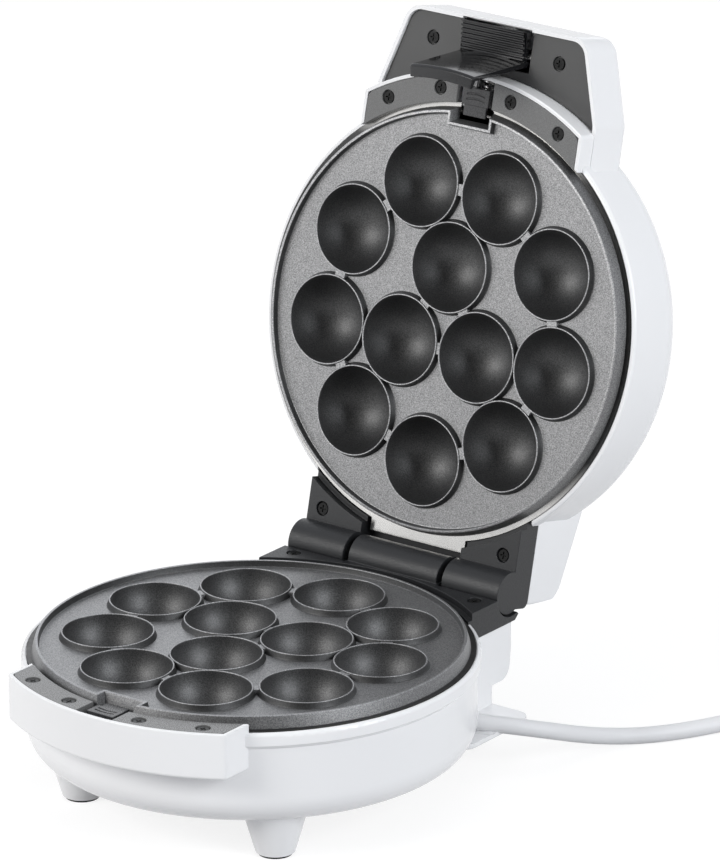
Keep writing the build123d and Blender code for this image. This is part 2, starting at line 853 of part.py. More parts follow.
def handle_outline(inset, corner, height):
    """Plan of the lid's handle: straight sides that draw together toward the front."""
    front = handle_end + inset
    flare = 11.2 / 35.7
    broad = handle_half_width - inset
    narrow = broad + flare * (front + 94.3)
    with BuildSketch(parting.offset(height)) as plan:
        with BuildLine():
            FilletPolyline(
                (-broad, -58.0),
                (-broad, -94.3),
                (-narrow, front),
                (narrow, front),
                (broad, -94.3),
                (broad, -58.0),
                radius=corner,
                close=True,
            )
        make_face()
    return plan.sketch


with BuildPart() as handle_body:
    add(handle_outline(0, handle_corner, -handle_rim))
    extrude(amount=-(handle_depth - handle_rim))
    fillet(handle_body.edges().group_by(Axis.Z)[0], 3.5)

with BuildPart() as handle_hollow:
    add(handle_outline(handle_wall, handle_corner - handle_wall, -handle_rim + 1))
    extrude(amount=-(handle_depth - handle_rim - 1.2))
    with BuildSketch(parting):
        Circle(wall_radius - 0.2)
    extrude(amount=-60, mode=Mode.SUBTRACT)

with BuildPart() as lid_block:
    with BuildSketch(side_view.offset(-lid_housing_half_width)):
        with BuildLine():
            FilletPolyline(
                (lid_block_front, -lid_seat),
                (lid_housing_back, -lid_seat),
                (111.0, -31.7),
                (106.5, -35.3),
                (lid_block_front, -lid_depth),
                radius=3.0,
                close=True,
            )
        make_face()
    extrude(amount=2 * lid_housing_half_width)
    with BuildSketch(parting.offset(-lid_seat)):
        with Locations((0, lid_housing_back - 0.4)):
            Rectangle(2 * lid_housing_half_width, 20, align=(Align.CENTER, Align.MAX))
    extrude(amount=-5)
    add(back_corners(lid_housing_half_width, lid_housing_back, 1.8), mode=Mode.INTERSECT)

with BuildPart() as lid_shape:
    with BuildSketch(front_view):
        add(bowl_outline(lid_depth, 0))
        make_face()
    revolve(axis=plate_axis)
    # white hinge housing behind the bowl
    add(lid_block.part)
    with BuildSketch(side_view.offset(-lid_housing_half_width + wall_thickness)):
        with BuildLine():
            Polyline(
                (60.0, -lid_seat + 1),
                (110.4, -lid_seat + 1),
                (108.8, -30.6),
                (105.4, -33.0),
                (lid_block_front, -lid_depth + wall_thickness + 0.6),
                (60.0, -lid_depth + wall_thickness + 0.6),
                (60.0, -lid_seat + 1),
            )
        make_face()
    extrude(amount=2 * (lid_housing_half_width - wall_thickness), mode=Mode.SUBTRACT)
    add(handle_body.part)
    add(handle_hollow.part, mode=Mode.SUBTRACT)
    add(bowl_room(lid_depth), mode=Mode.SUBTRACT)
    add(hinge_seat(lid_seat), mode=Mode.SUBTRACT)
    add(handle_band(lid_tray_depth, 0))
    add(clip_gap(), mode=Mode.SUBTRACT)
    # posts: hinge block, handle cover, lamp carrier
    with BuildSketch(parting.offset(-lid_seat)):
        with Locations(*hinge_screw_places):
            Circle(boss_radius)
    extrude(amount=-24)
    with BuildSketch(parting.offset(-cover_inset - lid_cover_thickness)):
        with Locations(*cover_screw_places):
            Circle(3.4)
    extrude(amount=-(handle_depth - cover_inset - lid_cover_thickness - 1))
    with BuildSketch(parting.offset(-35.1)):
        with Locations((17.6, -60), (-17.6, -60)):
            Circle(2.6)
    extrude(amount=-(lid_depth - 35.1 - 1))
    with BuildSketch(parting.offset(-lid_seat)):
        with Locations(*hinge_screw_places, *cover_screw_places):
            Circle(thread_radius)
    extrude(amount=-14, mode=Mode.SUBTRACT)
    with BuildSketch(parting.offset(-24.05)):
        with Locations((0, -123.5)):
            Circle(3.4)
    extrude(amount=-(handle_depth - 24.05 - 1))
    add(clip_rails(lid_tray_depth))
    # seat of the latch's finger pad, holes of the two lenses
    with BuildSketch(parting.offset(-handle_rim + 1)):
        with Locations((0, -126.0)):
            Rectangle(36.6, 3.2, align=(Align.CENTER, Align.MAX))
    extrude(amount=-6, mode=Mode.SUBTRACT)
    with BuildSketch(parting.offset(-lid_depth - 1)):
        with Locations(*lens_places):
            Circle(lens_radius + 0.1)
    extrude(amount=5, mode=Mode.SUBTRACT)
lid_housing = turned_over(lid_shape.part)
save_on_lid(lid_housing, "lid_housing")

with BuildPart() as cover_shape:
    add(handle_outline(handle_wall + 0.2, handle_corner - handle_wall - 0.2, -cover_inset))
    extrude(amount=-lid_cover_thickness)
    with BuildSketch(parting):
        Circle(band_radius + 0.3)
        with Locations((0, -110.5)):
            Rectangle(36.6, 18.6, align=(Align.CENTER, Align.MAX))
        with Locations(*cover_screw_places):
            Circle(screw_way)
    extrude(amount=-30, mode=Mode.SUBTRACT)
    with BuildSketch(parting.offset(-cover_inset)):
        with Locations(*cover_screw_places):
            Circle(counterbore_radius)
    extrude(amount=-1.2, mode=Mode.SUBTRACT)
    # lugs that carry the latch's pin
    for side in (1, -1):
        ends = sorted((side * 18.6, side * 21.4))
        with BuildSketch(side_view.offset(ends[0])):
            with Locations((latch_pivot[0], -latch_pivot[1] - 0.7)):
                Rectangle(6.4, 5.6)
        extrude(amount=ends[1] - ends[0])
    with BuildSketch(side_view.offset(-24)):
        with Locations((latch_pivot[0], -latch_pivot[1])):
            Circle(latch_pin_radius + 0.05)
    extrude(amount=48, mode=Mode.SUBTRACT)
save_on_lid(turned_over(cover_shape.part), "lid_handle_cover")
cover_screw_shape = screws(cover_screw_places, -cover_inset - 1.2, 1.1, 9.0)
save_on_lid(turned_over(cover_screw_shape), "lid_cover_screws")

# ---------------------------------------------------------------- the lid's twins
for piece, name in (
    (plate, "lid_baking_plate"),
    (dish, "lid_reflector"),
    (element, "lid_heating_element"),
    (right_insert, "lid_insert_right"),
    (left_insert, "lid_insert_left"),
    (insert_screw_group, "lid_insert_screws"),
    (clip, "lid_plate_clip"),
    (clip_spring, "lid_clip_spring"),
):
    save_on_lid(turned_over(piece), name)

# ---------------------------------------------------------------- hinge, lid half
ear_bottom = 0.5
ear_corner = 3.0
lid_block_back = 114.0
with BuildPart() as lid_hinge_block:
    with BuildSketch(side_view.offset(-lid_housing_half_width)):
        with BuildLine():
            Polyline(
                (block_front, ear_bottom),
                (100.0, ear_bottom),
                (hinge_back, -hinge_drop),
                (lid_block_back, -hinge_drop),
                (lid_block_back, lid_seat - 0.1 - ear_corner),
            )
            RadiusArc(
                (lid_block_back, lid_seat - 0.1 - ear_corner),
                (lid_block_back - ear_corner, lid_seat - 0.1),
                -ear_corner,
            )
            Polyline(
                (lid_block_back - ear_corner, lid_seat - 0.1),
                (block_front, lid_seat - 0.1),
                (block_front, ear_bottom),
            )
        make_face()
    extrude(amount=2 * lid_housing_half_width)
    # the middle stays open for the base's barrel, bridged above it
    with BuildSketch(side_view.offset(-ear_inner)):
        with Locations((96.0, 3.2)):
            Rectangle(50.0, 12.2)
    extrude(amount=2 * ear_inner, mode=Mode.SUBTRACT)
    add(hinge_round(barrel_radius, ear_inner, barrel_end))
    add(hinge_round(barrel_radius, -barrel_end, -ear_inner))
    # the pin goes in from the left, its right end stays covered
    add(hinge_round(bore_radius, -barrel_end, pin_end + 0.1), mode=Mode.SUBTRACT)
    add(turned_over(bowl_front(block_inner_radius, 94.6, 93.0, 4.5, 6.2, 20)), mode=Mode.SUBTRACT)
    with BuildSketch(parting.offset(ear_bottom)):
        with Locations(*hinge_screw_places):
            Circle(counterbore_radius)
    extrude(amount=2.0, mode=Mode.SUBTRACT)
    with BuildSketch(parting.offset(ear_bottom)):
        with Locations(*hinge_screw_places):
            Circle(screw_way)
    extrude(amount=20, mode=Mode.SUBTRACT)
save_on_lid(lid_hinge_block.part, "lid_hinge_block")
lid_screw_shape = screws(hinge_screw_places, -ear_bottom - 2.0, 1.5, 20.0)
save_on_lid(turned_over(lid_screw_shape), "lid_hinge_screws")

# ---------------------------------------------------------------- latch
rib_pitch = 2.0
rib_count = 7
rib_gap = 1.0
rib_depth = 1.1
first_rib = -114.9
pad_face = 9.6
pad_slope = 9.85
spring_seat_y = -123.5
spring_seat_z = 24.0


def radial_plane(angle):
    """Upright plane through the plates' axis, angle degrees round from the front."""
    a = math.radians(angle)
    return Plane(
        origin=centre,
        x_dir=(math.sin(a), -math.cos(a), 0),
        z_dir=(-math.cos(a), -math.sin(a), 0),
    )


with BuildPart() as latch:
    # arm, concentric with the handle band, and the lip that hooks under it
    with BuildSketch(radial_plane(-latch_half_angle)):
        with BuildLine():
            Polyline(
                (116.45, 13.5),
                (110.2, -24.3),
                (109.2, -25.3),
                (104.9, -25.3),
                (104.6, -23.5),
                (108.3, -22.6),
                (114.25, 13.5),
                (116.45, 13.5),
            )
        make_face()
    revolve(axis=plate_axis, revolution_arc=2 * latch_half_angle)
    # finger pad with cross ribs
    with BuildSketch(side_view.offset(-latch_half_width)):
        with BuildLine():
            Polyline(
                (-113.8, 9.8),
                (-128.2, 7.3),
                (-127.7, 10.3),
                (-113.8, 12.8),
                (-113.8, 9.8),
            )
        make_face()
        with Locations((latch_pivot[0], latch_pivot[1])):
            Circle(3.4)
    extrude(amount=2 * latch_half_width)
    with BuildSketch(side_view.offset(-latch_half_width)):
        for k in range(rib_count):
            y = first_rib - rib_pitch * k
            height = pad_face + (y - first_rib) * math.tan(math.radians(pad_slope))
            with Locations(Location((y, height, 0), (0, 0, pad_slope))):
                Rectangle(rib_gap, 2 * rib_depth)
    extrude(amount=2 * latch_half_width, mode=Mode.SUBTRACT)
    with BuildSketch(side_view.offset(-30)):
        with Locations((latch_pivot[0], latch_pivot[1])):
            Circle(latch_pin_radius + 0.05)
    extrude(amount=60, mode=Mode.SUBTRACT)
save_on_lid(latch.part, "latch")

with BuildPart() as latch_pin:
    with BuildSketch(side_view.offset(-21.2)):
        with Locations((latch_pivot[0], latch_pivot[1])):
            Circle(latch_pin_radius)
    extrude(amount=42.4)
save_on_lid(latch_pin.part, "latch_pin")

spring_foot = Vector(0, spring_seat_y, 11.15)
spring_height = spring_seat_z - spring_foot.Z
latch_spring = coil_spring(centre + spring_foot, Vector(0, 0, 1), spring_height, spring_radius, 5)
save_on_lid(latch_spring, "latch_spring")

# ---------------------------------------------------------------- indicator lamps, in the lid
for (x, y), name in zip(lens_places, ("power_lens", "ready_lens")):
    with BuildPart() as lens:
        with BuildSketch(parting.offset(lid_depth + 0.6)):
            with Locations((x, y)):
                Circle(lens_radius - 0.4)
        extrude(amount=-0.4, taper=-45)
        with BuildSketch(parting.offset(lid_depth + 0.2)):
            with Locations((x, y)):
                Circle(lens_radius)
        extrude(amount=-2.7)
        with BuildSketch(parting.offset(lid_depth - wall_thickness - 0.1)):
            with Locations((x, y)):
                Circle(lens_radius + 1.0)
        extrude(amount=-1.0)
    save_on_lid(lens.part, name)

carrier_height = 35.0
with BuildPart() as lamp_carrier:
    with BuildSketch(parting.offset(carrier_height)):
        with Locations((0, -60)):
            RectangleRounded(42, 14, 2)
    extrude(amount=-1.6)
save_on_lid(lamp_carrier.part, "lamp_carrier")

with BuildPart() as indicator_lamps:
    with BuildSketch(parting.offset(carrier_height)):
        with Locations(*lens_places):
            Circle(2.0)
    extrude(amount=6.4)
save_on_lid(indicator_lamps.part, "indicator_lamps")

# ---------------------------------------------------------------- electrics, in the base
under_dish = dish_bottom + sheet
with BuildPart() as thermostat:
    with BuildSketch(parting.offset(-under_dish - 0.05)):
        with Locations((0, 12)):
            Circle(8.0)
    extrude(amount=-5)
    with BuildSketch(parting.offset(-under_dish - 5.05)):
        with Locations((0, 12)):
            Circle(6.2)
    extrude(amount=-3)
    with BuildSketch(parting.offset(-under_dish - 8.05)):
        with Locations((3.5, 12), (-3.5, 12)):
            Rectangle(1.0, 5.0)
    extrude(amount=-5)
save(thermostat.part, "thermostat")

block_top_level = -39.4
lead_level = -44.5
with BuildPart() as terminal_block:
    with BuildSketch(parting.offset(-base_depth + 0.05)):
        with Locations((0, 77)):
            RectangleRounded(26, 12, 1)
    extrude(amount=block_top_level + base_depth - 0.05)
    with BuildSketch(parting.offset(block_top_level)):
        with Locations((-8, 77), (0, 77), (8, 77)):
            Circle(2.2)
    extrude(amount=-3, mode=Mode.SUBTRACT)
save(terminal_block.part, "terminal_block")

stub_x = 9.01
stub_y = 41.89
stub_end = -41.45
with BuildPart() as thermal_fuse:
    with BuildSketch(Plane(origin=centre + Vector(-stub_x, 50.1, lead_level), z_dir=(0, 1, 0))):
        Circle(2.4)
    extrude(amount=9.8)
save(thermal_fuse.part, "thermal_fuse")

lead_routes = [
    [(stub_x, 70.9, lead_level), (stub_x, stub_y, lead_level), (stub_x, stub_y, stub_end)],
    [(-stub_x, 49.9, lead_level), (-stub_x, stub_y, lead_level), (-stub_x, stub_y, stub_end)],
    [(-stub_x, 70.9, lead_level), (-stub_x, 60.1, lead_level)],
    [(3.5, 70.9, lead_level), (3.5, 12, lead_level), (3.5, 12, -under_dish - 13.2)],
    [(-3.5, 70.9, lead_level), (-3.5, 12, lead_level), (-3.5, 12, -under_dish - 13.2)],
    [(34.6, 55.6, -43.0), (26.0, 56.5, -43.0), (14.0, 74.0, -43.0)],
    [(34.6, 55.6, -45.6), (27.0, 59.5, -45.6), (14.0, 78.6, -45.6)],
]
leads = []
for route in lead_routes:
    with BuildPart() as core:
        with BuildLine():
            points = [centre + Vector(*p) for p in route]
            if len(points) > 2:
                run = FilletPolyline(*points, radius=1.6)
            else:
                run = Line(*points)
        with BuildSketch(Plane(origin=run @ 0, z_dir=run % 0)):
            Circle(1.1)
        sweep()
    leads.append(core.part.solid())
save(Compound(children=leads), "internal_leads")

# ---------------------------------------------------------------- cord
strand_pitch = 7.75
coil_radius = 44.0
coil_inner_radius = coil_radius - strand_pitch - 0.15
coil_drop_angle = 56.3
tail_length = 14.0
tail_bend_radius = 40.0
tail_turn = 50.0
bend_share = 0.45


def bend_radii(points):
    """One radius per inner corner: a fixed share of its shorter run, by the size of the turn."""
    radii = []
    for before, here, after in zip(points, points[1:], points[2:]):
        turn = (here - before).get_angle(after - here)
        run = min((here - before).length, (after - here).length)
        radii.append(bend_share * run / math.tan(math.radians(turn / 2)))
    return radii


lead_route = [centre + Vector(*p) for p in lead_points]
lead_bends = bend_radii(lead_route)
print("cord bends, mm:", [round(r, 1) for r in lead_bends])
with BuildPart() as cord_lead:
    with BuildLine():
        lead_line = FilletPolyline(*lead_route, radius=lead_bends)
    with BuildSketch(Plane(origin=lead_line @ 0, z_dir=lead_line % 0)):
        Circle(cord_radius)
    sweep()
lead_length = lead_line.length
print("cord lead", lead_length, cord_lead.part.volume / (math.pi * cord_radius**2 * lead_length))
save(cord_lead.part, "cord_lead")

with BuildPart() as strain_relief:
    relief_axis = (lead_route[1] - lead_route[0]).normalized()
    with BuildSketch(Plane(origin=lead_route[0] + relief_axis * relief_start, z_dir=relief_axis)):
        Circle(relief_radius)
    boot_length = relief_end - relief_start
    boot_taper = math.degrees(math.atan((relief_radius - relief_tip_radius) / boot_length))
    extrude(amount=boot_length, taper=boot_taper)
    with BuildSketch(Plane(origin=lead_route[0] + relief_axis * relief_start, z_dir=relief_axis)):
        Circle(cord_radius + 0.15)
    extrude(amount=boot_length, mode=Mode.SUBTRACT)
save(strain_relief.part, "strain_relief")

ahead = (lead_route[-1] - lead_route[-2]).normalized()
inward = Vector(ahead.Y, -ahead.X, 0)
coil_start = lead_route[-1] + ahead * cord_diameter
coil_centre = coil_start + inward * coil_radius


def eased(share):
    """A smooth 0 to 1, level at both ends."""
    return (1 - math.cos(math.pi * share)) / 2


def on_coil(turn):
    """Centre line of the climbing and of the falling half turn of the coil."""
    if turn < 1.75:
        radius = coil_inner_radius
        height = strand_pitch * eased((turn - 1) * 2)
    else:
        around = math.radians(90 - coil_drop_angle * eased((turn - 2) * 2))
        radius = coil_radius + strand_pitch * math.cos(around)
        height = strand_pitch * math.sin(around)
    angle = 2 * math.pi * turn
    flat = ahead * (radius * math.sin(angle)) - inward * (radius * math.cos(angle))
    return coil_centre + flat + Vector(0, 0, height)


def coil_heading(turn, start, end):
    """Direction of the centre line, exact at both ends of a half turn."""
    if turn == start:
        return ahead * math.cos(2 * math.pi * turn)
    if turn == end:
        return ahead * math.cos(2 * math.pi * turn)
    step = 0.0005
    return (on_coil(turn + step) - on_coil(turn - step)).normalized()


def two_arcs(start, start_heading, end, end_heading):
    """Two arcs that join start to end and are tangent to both headings."""
    chord = end - start
    spread = start_heading + end_heading
    closeness = 2 * (1 - start_heading.dot(end_heading))
    across = chord.dot(spread)
    reach = (-across + math.sqrt(across**2 + closeness * chord.dot(chord))) / closeness
    joint = (start + end + (start_heading - end_heading) * reach) / 2
    joint_heading = (end - end_heading * reach) - (start + start_heading * reach)
    return [
        TangentArc(start, joint, tangent=start_heading),
        TangentArc(joint, end, tangent=joint_heading.normalized()),
    ]


def half_turn(turn, radius_from, radius_to, height):
    """A level half turn from one radius to another."""
    sign = round(math.cos(2 * math.pi * turn))
    level = Vector(0, 0, height)
    start = coil_centre - inward * (radius_from * sign) + level
    end = coil_centre + inward * (radius_to * sign) + level
    middle = (start + end) / 2 + ahead * (sign * (radius_from + radius_to) / 2)
    return ThreePointArc(start, middle, end)


def sloping_half_turn(turn, steps=4):
    """A half turn that climbs or falls, in biarcs."""
    for k in range(steps):
        first = turn + 0.5 * k / steps
        second = turn + 0.5 * (k + 1) / steps
        two_arcs(
            on_coil(first),
            coil_heading(first, turn, turn + 0.5),
            on_coil(second),
            coil_heading(second, turn, turn + 0.5),
        )


with BuildPart() as cord_coil:
    with BuildLine() as coil_line:
        Line(lead_route[-1], coil_start)
        half_turn(0, coil_radius, coil_radius, 0)
        half_turn(0.5, coil_radius, coil_inner_radius, 0)
        sloping_half_turn(1)
        half_turn(1.5, coil_inner_radius, coil_radius, strand_pitch)
        sloping_half_turn(2)
        # the tail turns away from the coil toward the plug
        coil_end = on_coil(2.5)
        bend_start = coil_end - ahead * cord_diameter
        bend_end = (
            bend_start
            - ahead * (tail_bend_radius * math.sin(math.radians(tail_turn)))
            + inward * (tail_bend_radius * (1 - math.cos(math.radians(tail_turn))))
        )
        Line(coil_end, bend_start)
        tail_bend = TangentArc(bend_start, bend_end, tangent=ahead * -1)
        plug_heading = tail_bend % 1
        cord_end = bend_end + plug_heading * tail_length
        Line(bend_end, cord_end)
    with BuildSketch(Plane(origin=lead_route[-1], z_dir=ahead)):
        Circle(cord_radius)
    sweep()
coil_wire = coil_line.wire()
coil_length = coil_wire.length
print("cord coil", coil_length, cord_coil.part.volume / (math.pi * cord_radius**2 * coil_length))

# least gap between strands, on points a millimetre apart
samples = [coil_wire.position_at(k / int(coil_length)) for k in range(int(coil_length) + 1)]
least_gap = min(
    (samples[i] - samples[j]).length
    for i in range(len(samples))
    for j in range(i + 25, len(samples))
) - cord_diameter
print("least gap between strands, mm:", round(least_gap, 2))
print("cord in all, mm:", round(lead_length + coil_length))
save(cord_coil.part, "cord_coil")

# flat moulded plug, lying on the floor
plug_thickness = 15.6
plug_entry = 6.0
plug_plan = Plane(
    origin=Vector(cord_end.X, cord_end.Y, 0.1), x_dir=plug_heading, z_dir=(0, 0, 1)
)
pin_spacing = 19.0
plug_front = 38.0
with BuildPart() as plug:
    with BuildSketch(Plane(origin=cord_end - plug_heading * plug_entry, z_dir=plug_heading)):
        Circle(5.4)
    extrude(amount=plug_entry + 4)
    with BuildSketch(plug_plan):
        with BuildLine():
            FilletPolyline(
                (2.0, 6.8),
                (17.0, 17.5),
                (28.0, 17.5),
                (plug_front, 13.0),
                (plug_front, -13.0),
                (28.0, -17.5),
                (17.0, -17.5),
                (2.0, -6.8),
                radius=2.4,
                close=True,
            )
        make_face()
    extrude(amount=plug_thickness)
    chamfer(plug.faces().sort_by(Axis.Z)[-1].edges(), 1.6)
    chamfer(plug.faces().sort_by(Axis.Z)[0].edges(), 1.6)
    with BuildSketch(Plane(origin=cord_end - plug_heading * (plug_entry + 1), z_dir=plug_heading)):
        Circle(cord_radius + 0.05)
    extrude(amount=plug_entry + 1.05, mode=Mode.SUBTRACT)
save(plug.part, "plug")

with BuildPart() as plug_pins:
    pin_face = Plane(
        origin=Vector(cord_end.X, cord_end.Y, 0.1 + plug_thickness / 2) + plug_heading * (plug_front + 0.05),
        x_dir=(plug_heading.Y, -plug_heading.X, 0),
        z_dir=plug_heading,
    )
    with BuildSketch(pin_face):
        with Locations((pin_spacing / 2, 0), (-pin_spacing / 2, 0)):
            Circle(2.0)
    extrude(amount=18.0)
    with BuildSketch(pin_face.offset(18.0)):
        with Locations((pin_spacing / 2, 0), (-pin_spacing / 2, 0)):
            Circle(2.0)
    extrude(amount=1.0, taper=30)
save(plug_pins.part, "plug_pins")
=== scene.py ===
import math

import bmesh
import bpy
from mathutils import Matrix, Vector


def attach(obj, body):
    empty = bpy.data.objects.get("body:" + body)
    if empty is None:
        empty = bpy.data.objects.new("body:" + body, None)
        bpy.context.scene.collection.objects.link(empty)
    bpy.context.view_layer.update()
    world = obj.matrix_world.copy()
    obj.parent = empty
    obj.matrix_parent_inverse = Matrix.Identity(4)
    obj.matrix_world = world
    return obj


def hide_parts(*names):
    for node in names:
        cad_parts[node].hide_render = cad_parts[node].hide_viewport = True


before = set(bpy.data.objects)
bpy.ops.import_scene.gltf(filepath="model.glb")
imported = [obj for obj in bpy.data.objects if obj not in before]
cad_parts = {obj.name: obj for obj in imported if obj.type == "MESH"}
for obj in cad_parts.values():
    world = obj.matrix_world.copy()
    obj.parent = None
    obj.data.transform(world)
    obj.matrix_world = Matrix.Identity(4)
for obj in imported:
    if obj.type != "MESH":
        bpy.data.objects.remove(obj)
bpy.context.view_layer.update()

# ---- Camera ---------------------------------------------------------------
# A long lens, well to the right of the handle side and a little above the lid's middle.
# Places are given in millimetres from the point between the two plates, where they close.
mm = 0.001
plates_middle = Vector((0.0, -45.0, 68.2))
camera_azimuth = math.radians(37.3)
camera_elevation = math.radians(19.77)
camera_roll = math.radians(0.34)
camera_place = (1875.58, -2386.15, 1181.23)
focal_length = 324.63
film_width = 36.0


def spot(x, y, z):
    """A place given from the plates' middle in millimetres, as a point in metres."""
    return (plates_middle + Vector((x, y, z))) * mm


forward = Vector((
    -math.sin(camera_azimuth) * math.cos(camera_elevation),
    math.cos(camera_azimuth) * math.cos(camera_elevation),
    -math.sin(camera_elevation),
))
sideways = Vector((math.cos(camera_azimuth), math.sin(camera_azimuth), 0.0))
downward = forward.cross(sideways)
camera_right = sideways * math.cos(camera_roll) + downward * math.sin(camera_roll)
camera_up = sideways * math.sin(camera_roll) - downward * math.cos(camera_roll)

lens = bpy.data.cameras.new("camera")
lens.sensor_width = film_width
lens.lens = focal_length
lens.clip_start = 0.1
lens.clip_end = 60.0
camera = bpy.data.objects.new("camera", lens)
axes = Matrix((camera_right, camera_up, -forward)).transposed().to_4x4()
camera.matrix_world = Matrix.Translation(spot(*camera_place)) @ axes
bpy.context.scene.collection.objects.link(camera)
bpy.context.scene.camera = camera
bpy.context.scene.view_settings.view_transform = "Standard"

# ---- Mains cord -----------------------------------------------------------
# A round white lead of 7.2 mm in soft sheath. It leaves the bowl beside the neck, sinks to the
# table, runs off to the right and is wound there in a neat coil, with its plug beside it.
cord_diameter = 7.2
lead_points = [
    (35.6, 55.9, -44.3),
    (88.5, 72.6, -43.7),
    (92.5, 125.0, -64.6),
    (115.4, 149.2, -64.6),
    (134.7, 195.3, -64.6),
    (159.3, 226.8, -64.6),
]
coil_radius = 44.0
coil_inner_radius = 36.1
strand_pitch = 7.75
coil_drop = math.radians(56.3)
points_per_turn = 16
coil_turns = 2.5
tail_corner = 25.85
tail_turn = math.radians(50.0)
tail_run = 32.65

cord_heading = (Vector(lead_points[-1]) - Vector(lead_points[-2])).normalized()
coil_side = Vector((cord_heading.y, -cord_heading.x, 0.0))
coil_middle = Vector(lead_points[-1]) + cord_heading * cord_diameter + coil_side * coil_radius
# a spline's points stand a little outside the round that it draws
outside = 2 / (1 + math.cos(math.pi / points_per_turn))


def eased(share):
    """A smooth 0 to 1, level at both ends."""
    return (1 - math.cos(math.pi * share)) / 2


def coil_point(turn):
    """Where the coil's line is after so many turns: two level ones, then over the first."""
    angle = 2 * math.pi * turn
    shift = 0.0
    height = 0.0
    radius = coil_radius
    between = (coil_radius + coil_inner_radius) / 2
    if 0.5 < turn < 1.0:
        radius = between
        shift = coil_radius - between
    elif 1.0 <= turn <= 1.5:
        radius = coil_inner_radius
        height = strand_pitch * eased((turn - 1.0) * 2)
    elif 1.5 < turn < 2.0:
        radius = between
        shift = coil_radius - between
        height = strand_pitch
    elif turn >= 2.0:
        lean = math.pi / 2 - coil_drop * eased((turn - 2.0) * 2)
        radius = coil_radius + strand_pitch * math.cos(lean)
        height = strand_pitch * math.sin(lean)
    radius *= outside
    flat = cord_heading * radius * math.sin(angle) - coil_side * radius * math.cos(angle)
    return coil_middle + flat + coil_side * shift + Vector((0.0, 0.0, height))


cord_points = [Vector(point) for point in lead_points]
for step in range(int(coil_turns * points_per_turn)):
    cord_points.append(coil_point((step + 0.5) / points_per_turn))
last_lean = math.pi / 2 - coil_drop
coil_end = coil_middle + coil_side * (coil_radius + strand_pitch * math.cos(last_lean))
coil_end.z = lead_points[-1][2] + strand_pitch * math.sin(last_lean)
tail_heading = -cord_heading * math.cos(tail_turn) + coil_side * math.sin(tail_turn)
tail_knee = coil_end - cord_heading * tail_corner
cord_points += [tail_knee, tail_knee + tail_heading * tail_run]

cord_line = bpy.data.curves.new("mains_cord", "CURVE")
cord_line.dimensions = "3D"
cord_line.bevel_depth = cord_diameter / 2 * mm
cord_line.bevel_resolution = 6
cord_line.resolution_u = 10
cord_line.use_fill_caps = True
spline = cord_line.splines.new("NURBS")
spline.points.add(len(cord_points) - 1)
for knot, place in zip(spline.points, cord_points):
    knot.co = (*spot(*place), 1.0)
spline.order_u = 3
spline.use_endpoint_u = True
mains_cord = bpy.data.objects.new("mains_cord", cord_line)
bpy.context.scene.collection.objects.link(mains_cord)


def new_tree(name, inputs, outputs):
    """An empty shader node group with named sockets, and its two end nodes."""
    group = bpy.data.node_groups.new(name, "ShaderNodeTree")
    for label, value in inputs:
        kind = "NodeSocketColor" if isinstance(value, tuple) else "NodeSocketFloat"
        group.interface.new_socket(label, in_out="INPUT", socket_type=kind).default_value = value
    for label, kind in outputs:
        group.interface.new_socket(label, in_out="OUTPUT", socket_type=kind)
    return group, group.nodes.new("NodeGroupInput"), group.nodes.new("NodeGroupOutput")


def moulded_surface():
    """Skin of a moulding: slow drift of tone, fine grain in gloss and in height."""
    group, given, made = new_tree(
        "moulded surface",
        [
            ("Colour", (0.8, 0.8, 0.8, 1.0)),
            ("Drift colour", (0.7, 0.7, 0.7, 1.0)),
            ("Drift size", 20.0),
            ("Grain size", 1500.0),
            ("Smooth", 0.3),
            ("Rough", 0.4),
        ],
        [
            ("Colour", "NodeSocketColor"),
            ("Roughness", "NodeSocketFloat"),
            ("Height", "NodeSocketFloat"),
        ],
    )
    nodes, links = group.nodes, group.links
    place = nodes.new("ShaderNodeTexCoord")
    drift = nodes.new("ShaderNodeTexNoise")
    drift.inputs["Detail"].default_value = 3.0
    grain = nodes.new("ShaderNodeTexNoise")
    grain.inputs["Detail"].default_value = 2.0
    # on a Mix node for colours, inputs 6 and 7 are A and B, and output 2 is the result
    tone = nodes.new("ShaderNodeMix")
    tone.data_type = "RGBA"
    gloss = nodes.new("ShaderNodeMapRange")
    gloss.inputs["From Min"].default_value = 0.3
    gloss.inputs["From Max"].default_value = 0.7
    for noise, size in ((drift, "Drift size"), (grain, "Grain size")):
        links.new(place.outputs["Object"], noise.inputs["Vector"])
        links.new(given.outputs[size], noise.inputs["Scale"])
    links.new(drift.outputs["Fac"], tone.inputs["Factor"])
    links.new(given.outputs["Colour"], tone.inputs[6])
    links.new(given.outputs["Drift colour"], tone.inputs[7])
    links.new(grain.outputs["Fac"], gloss.inputs["Value"])
    links.new(given.outputs["Smooth"], gloss.inputs["To Min"])
    links.new(given.outputs["Rough"], gloss.inputs["To Max"])
    links.new(tone.outputs[2], made.inputs["Colour"])
    links.new(gloss.outputs["Result"], made.inputs["Roughness"])
    links.new(grain.outputs["Fac"], made.inputs["Height"])
    return group


moulded = moulded_surface()


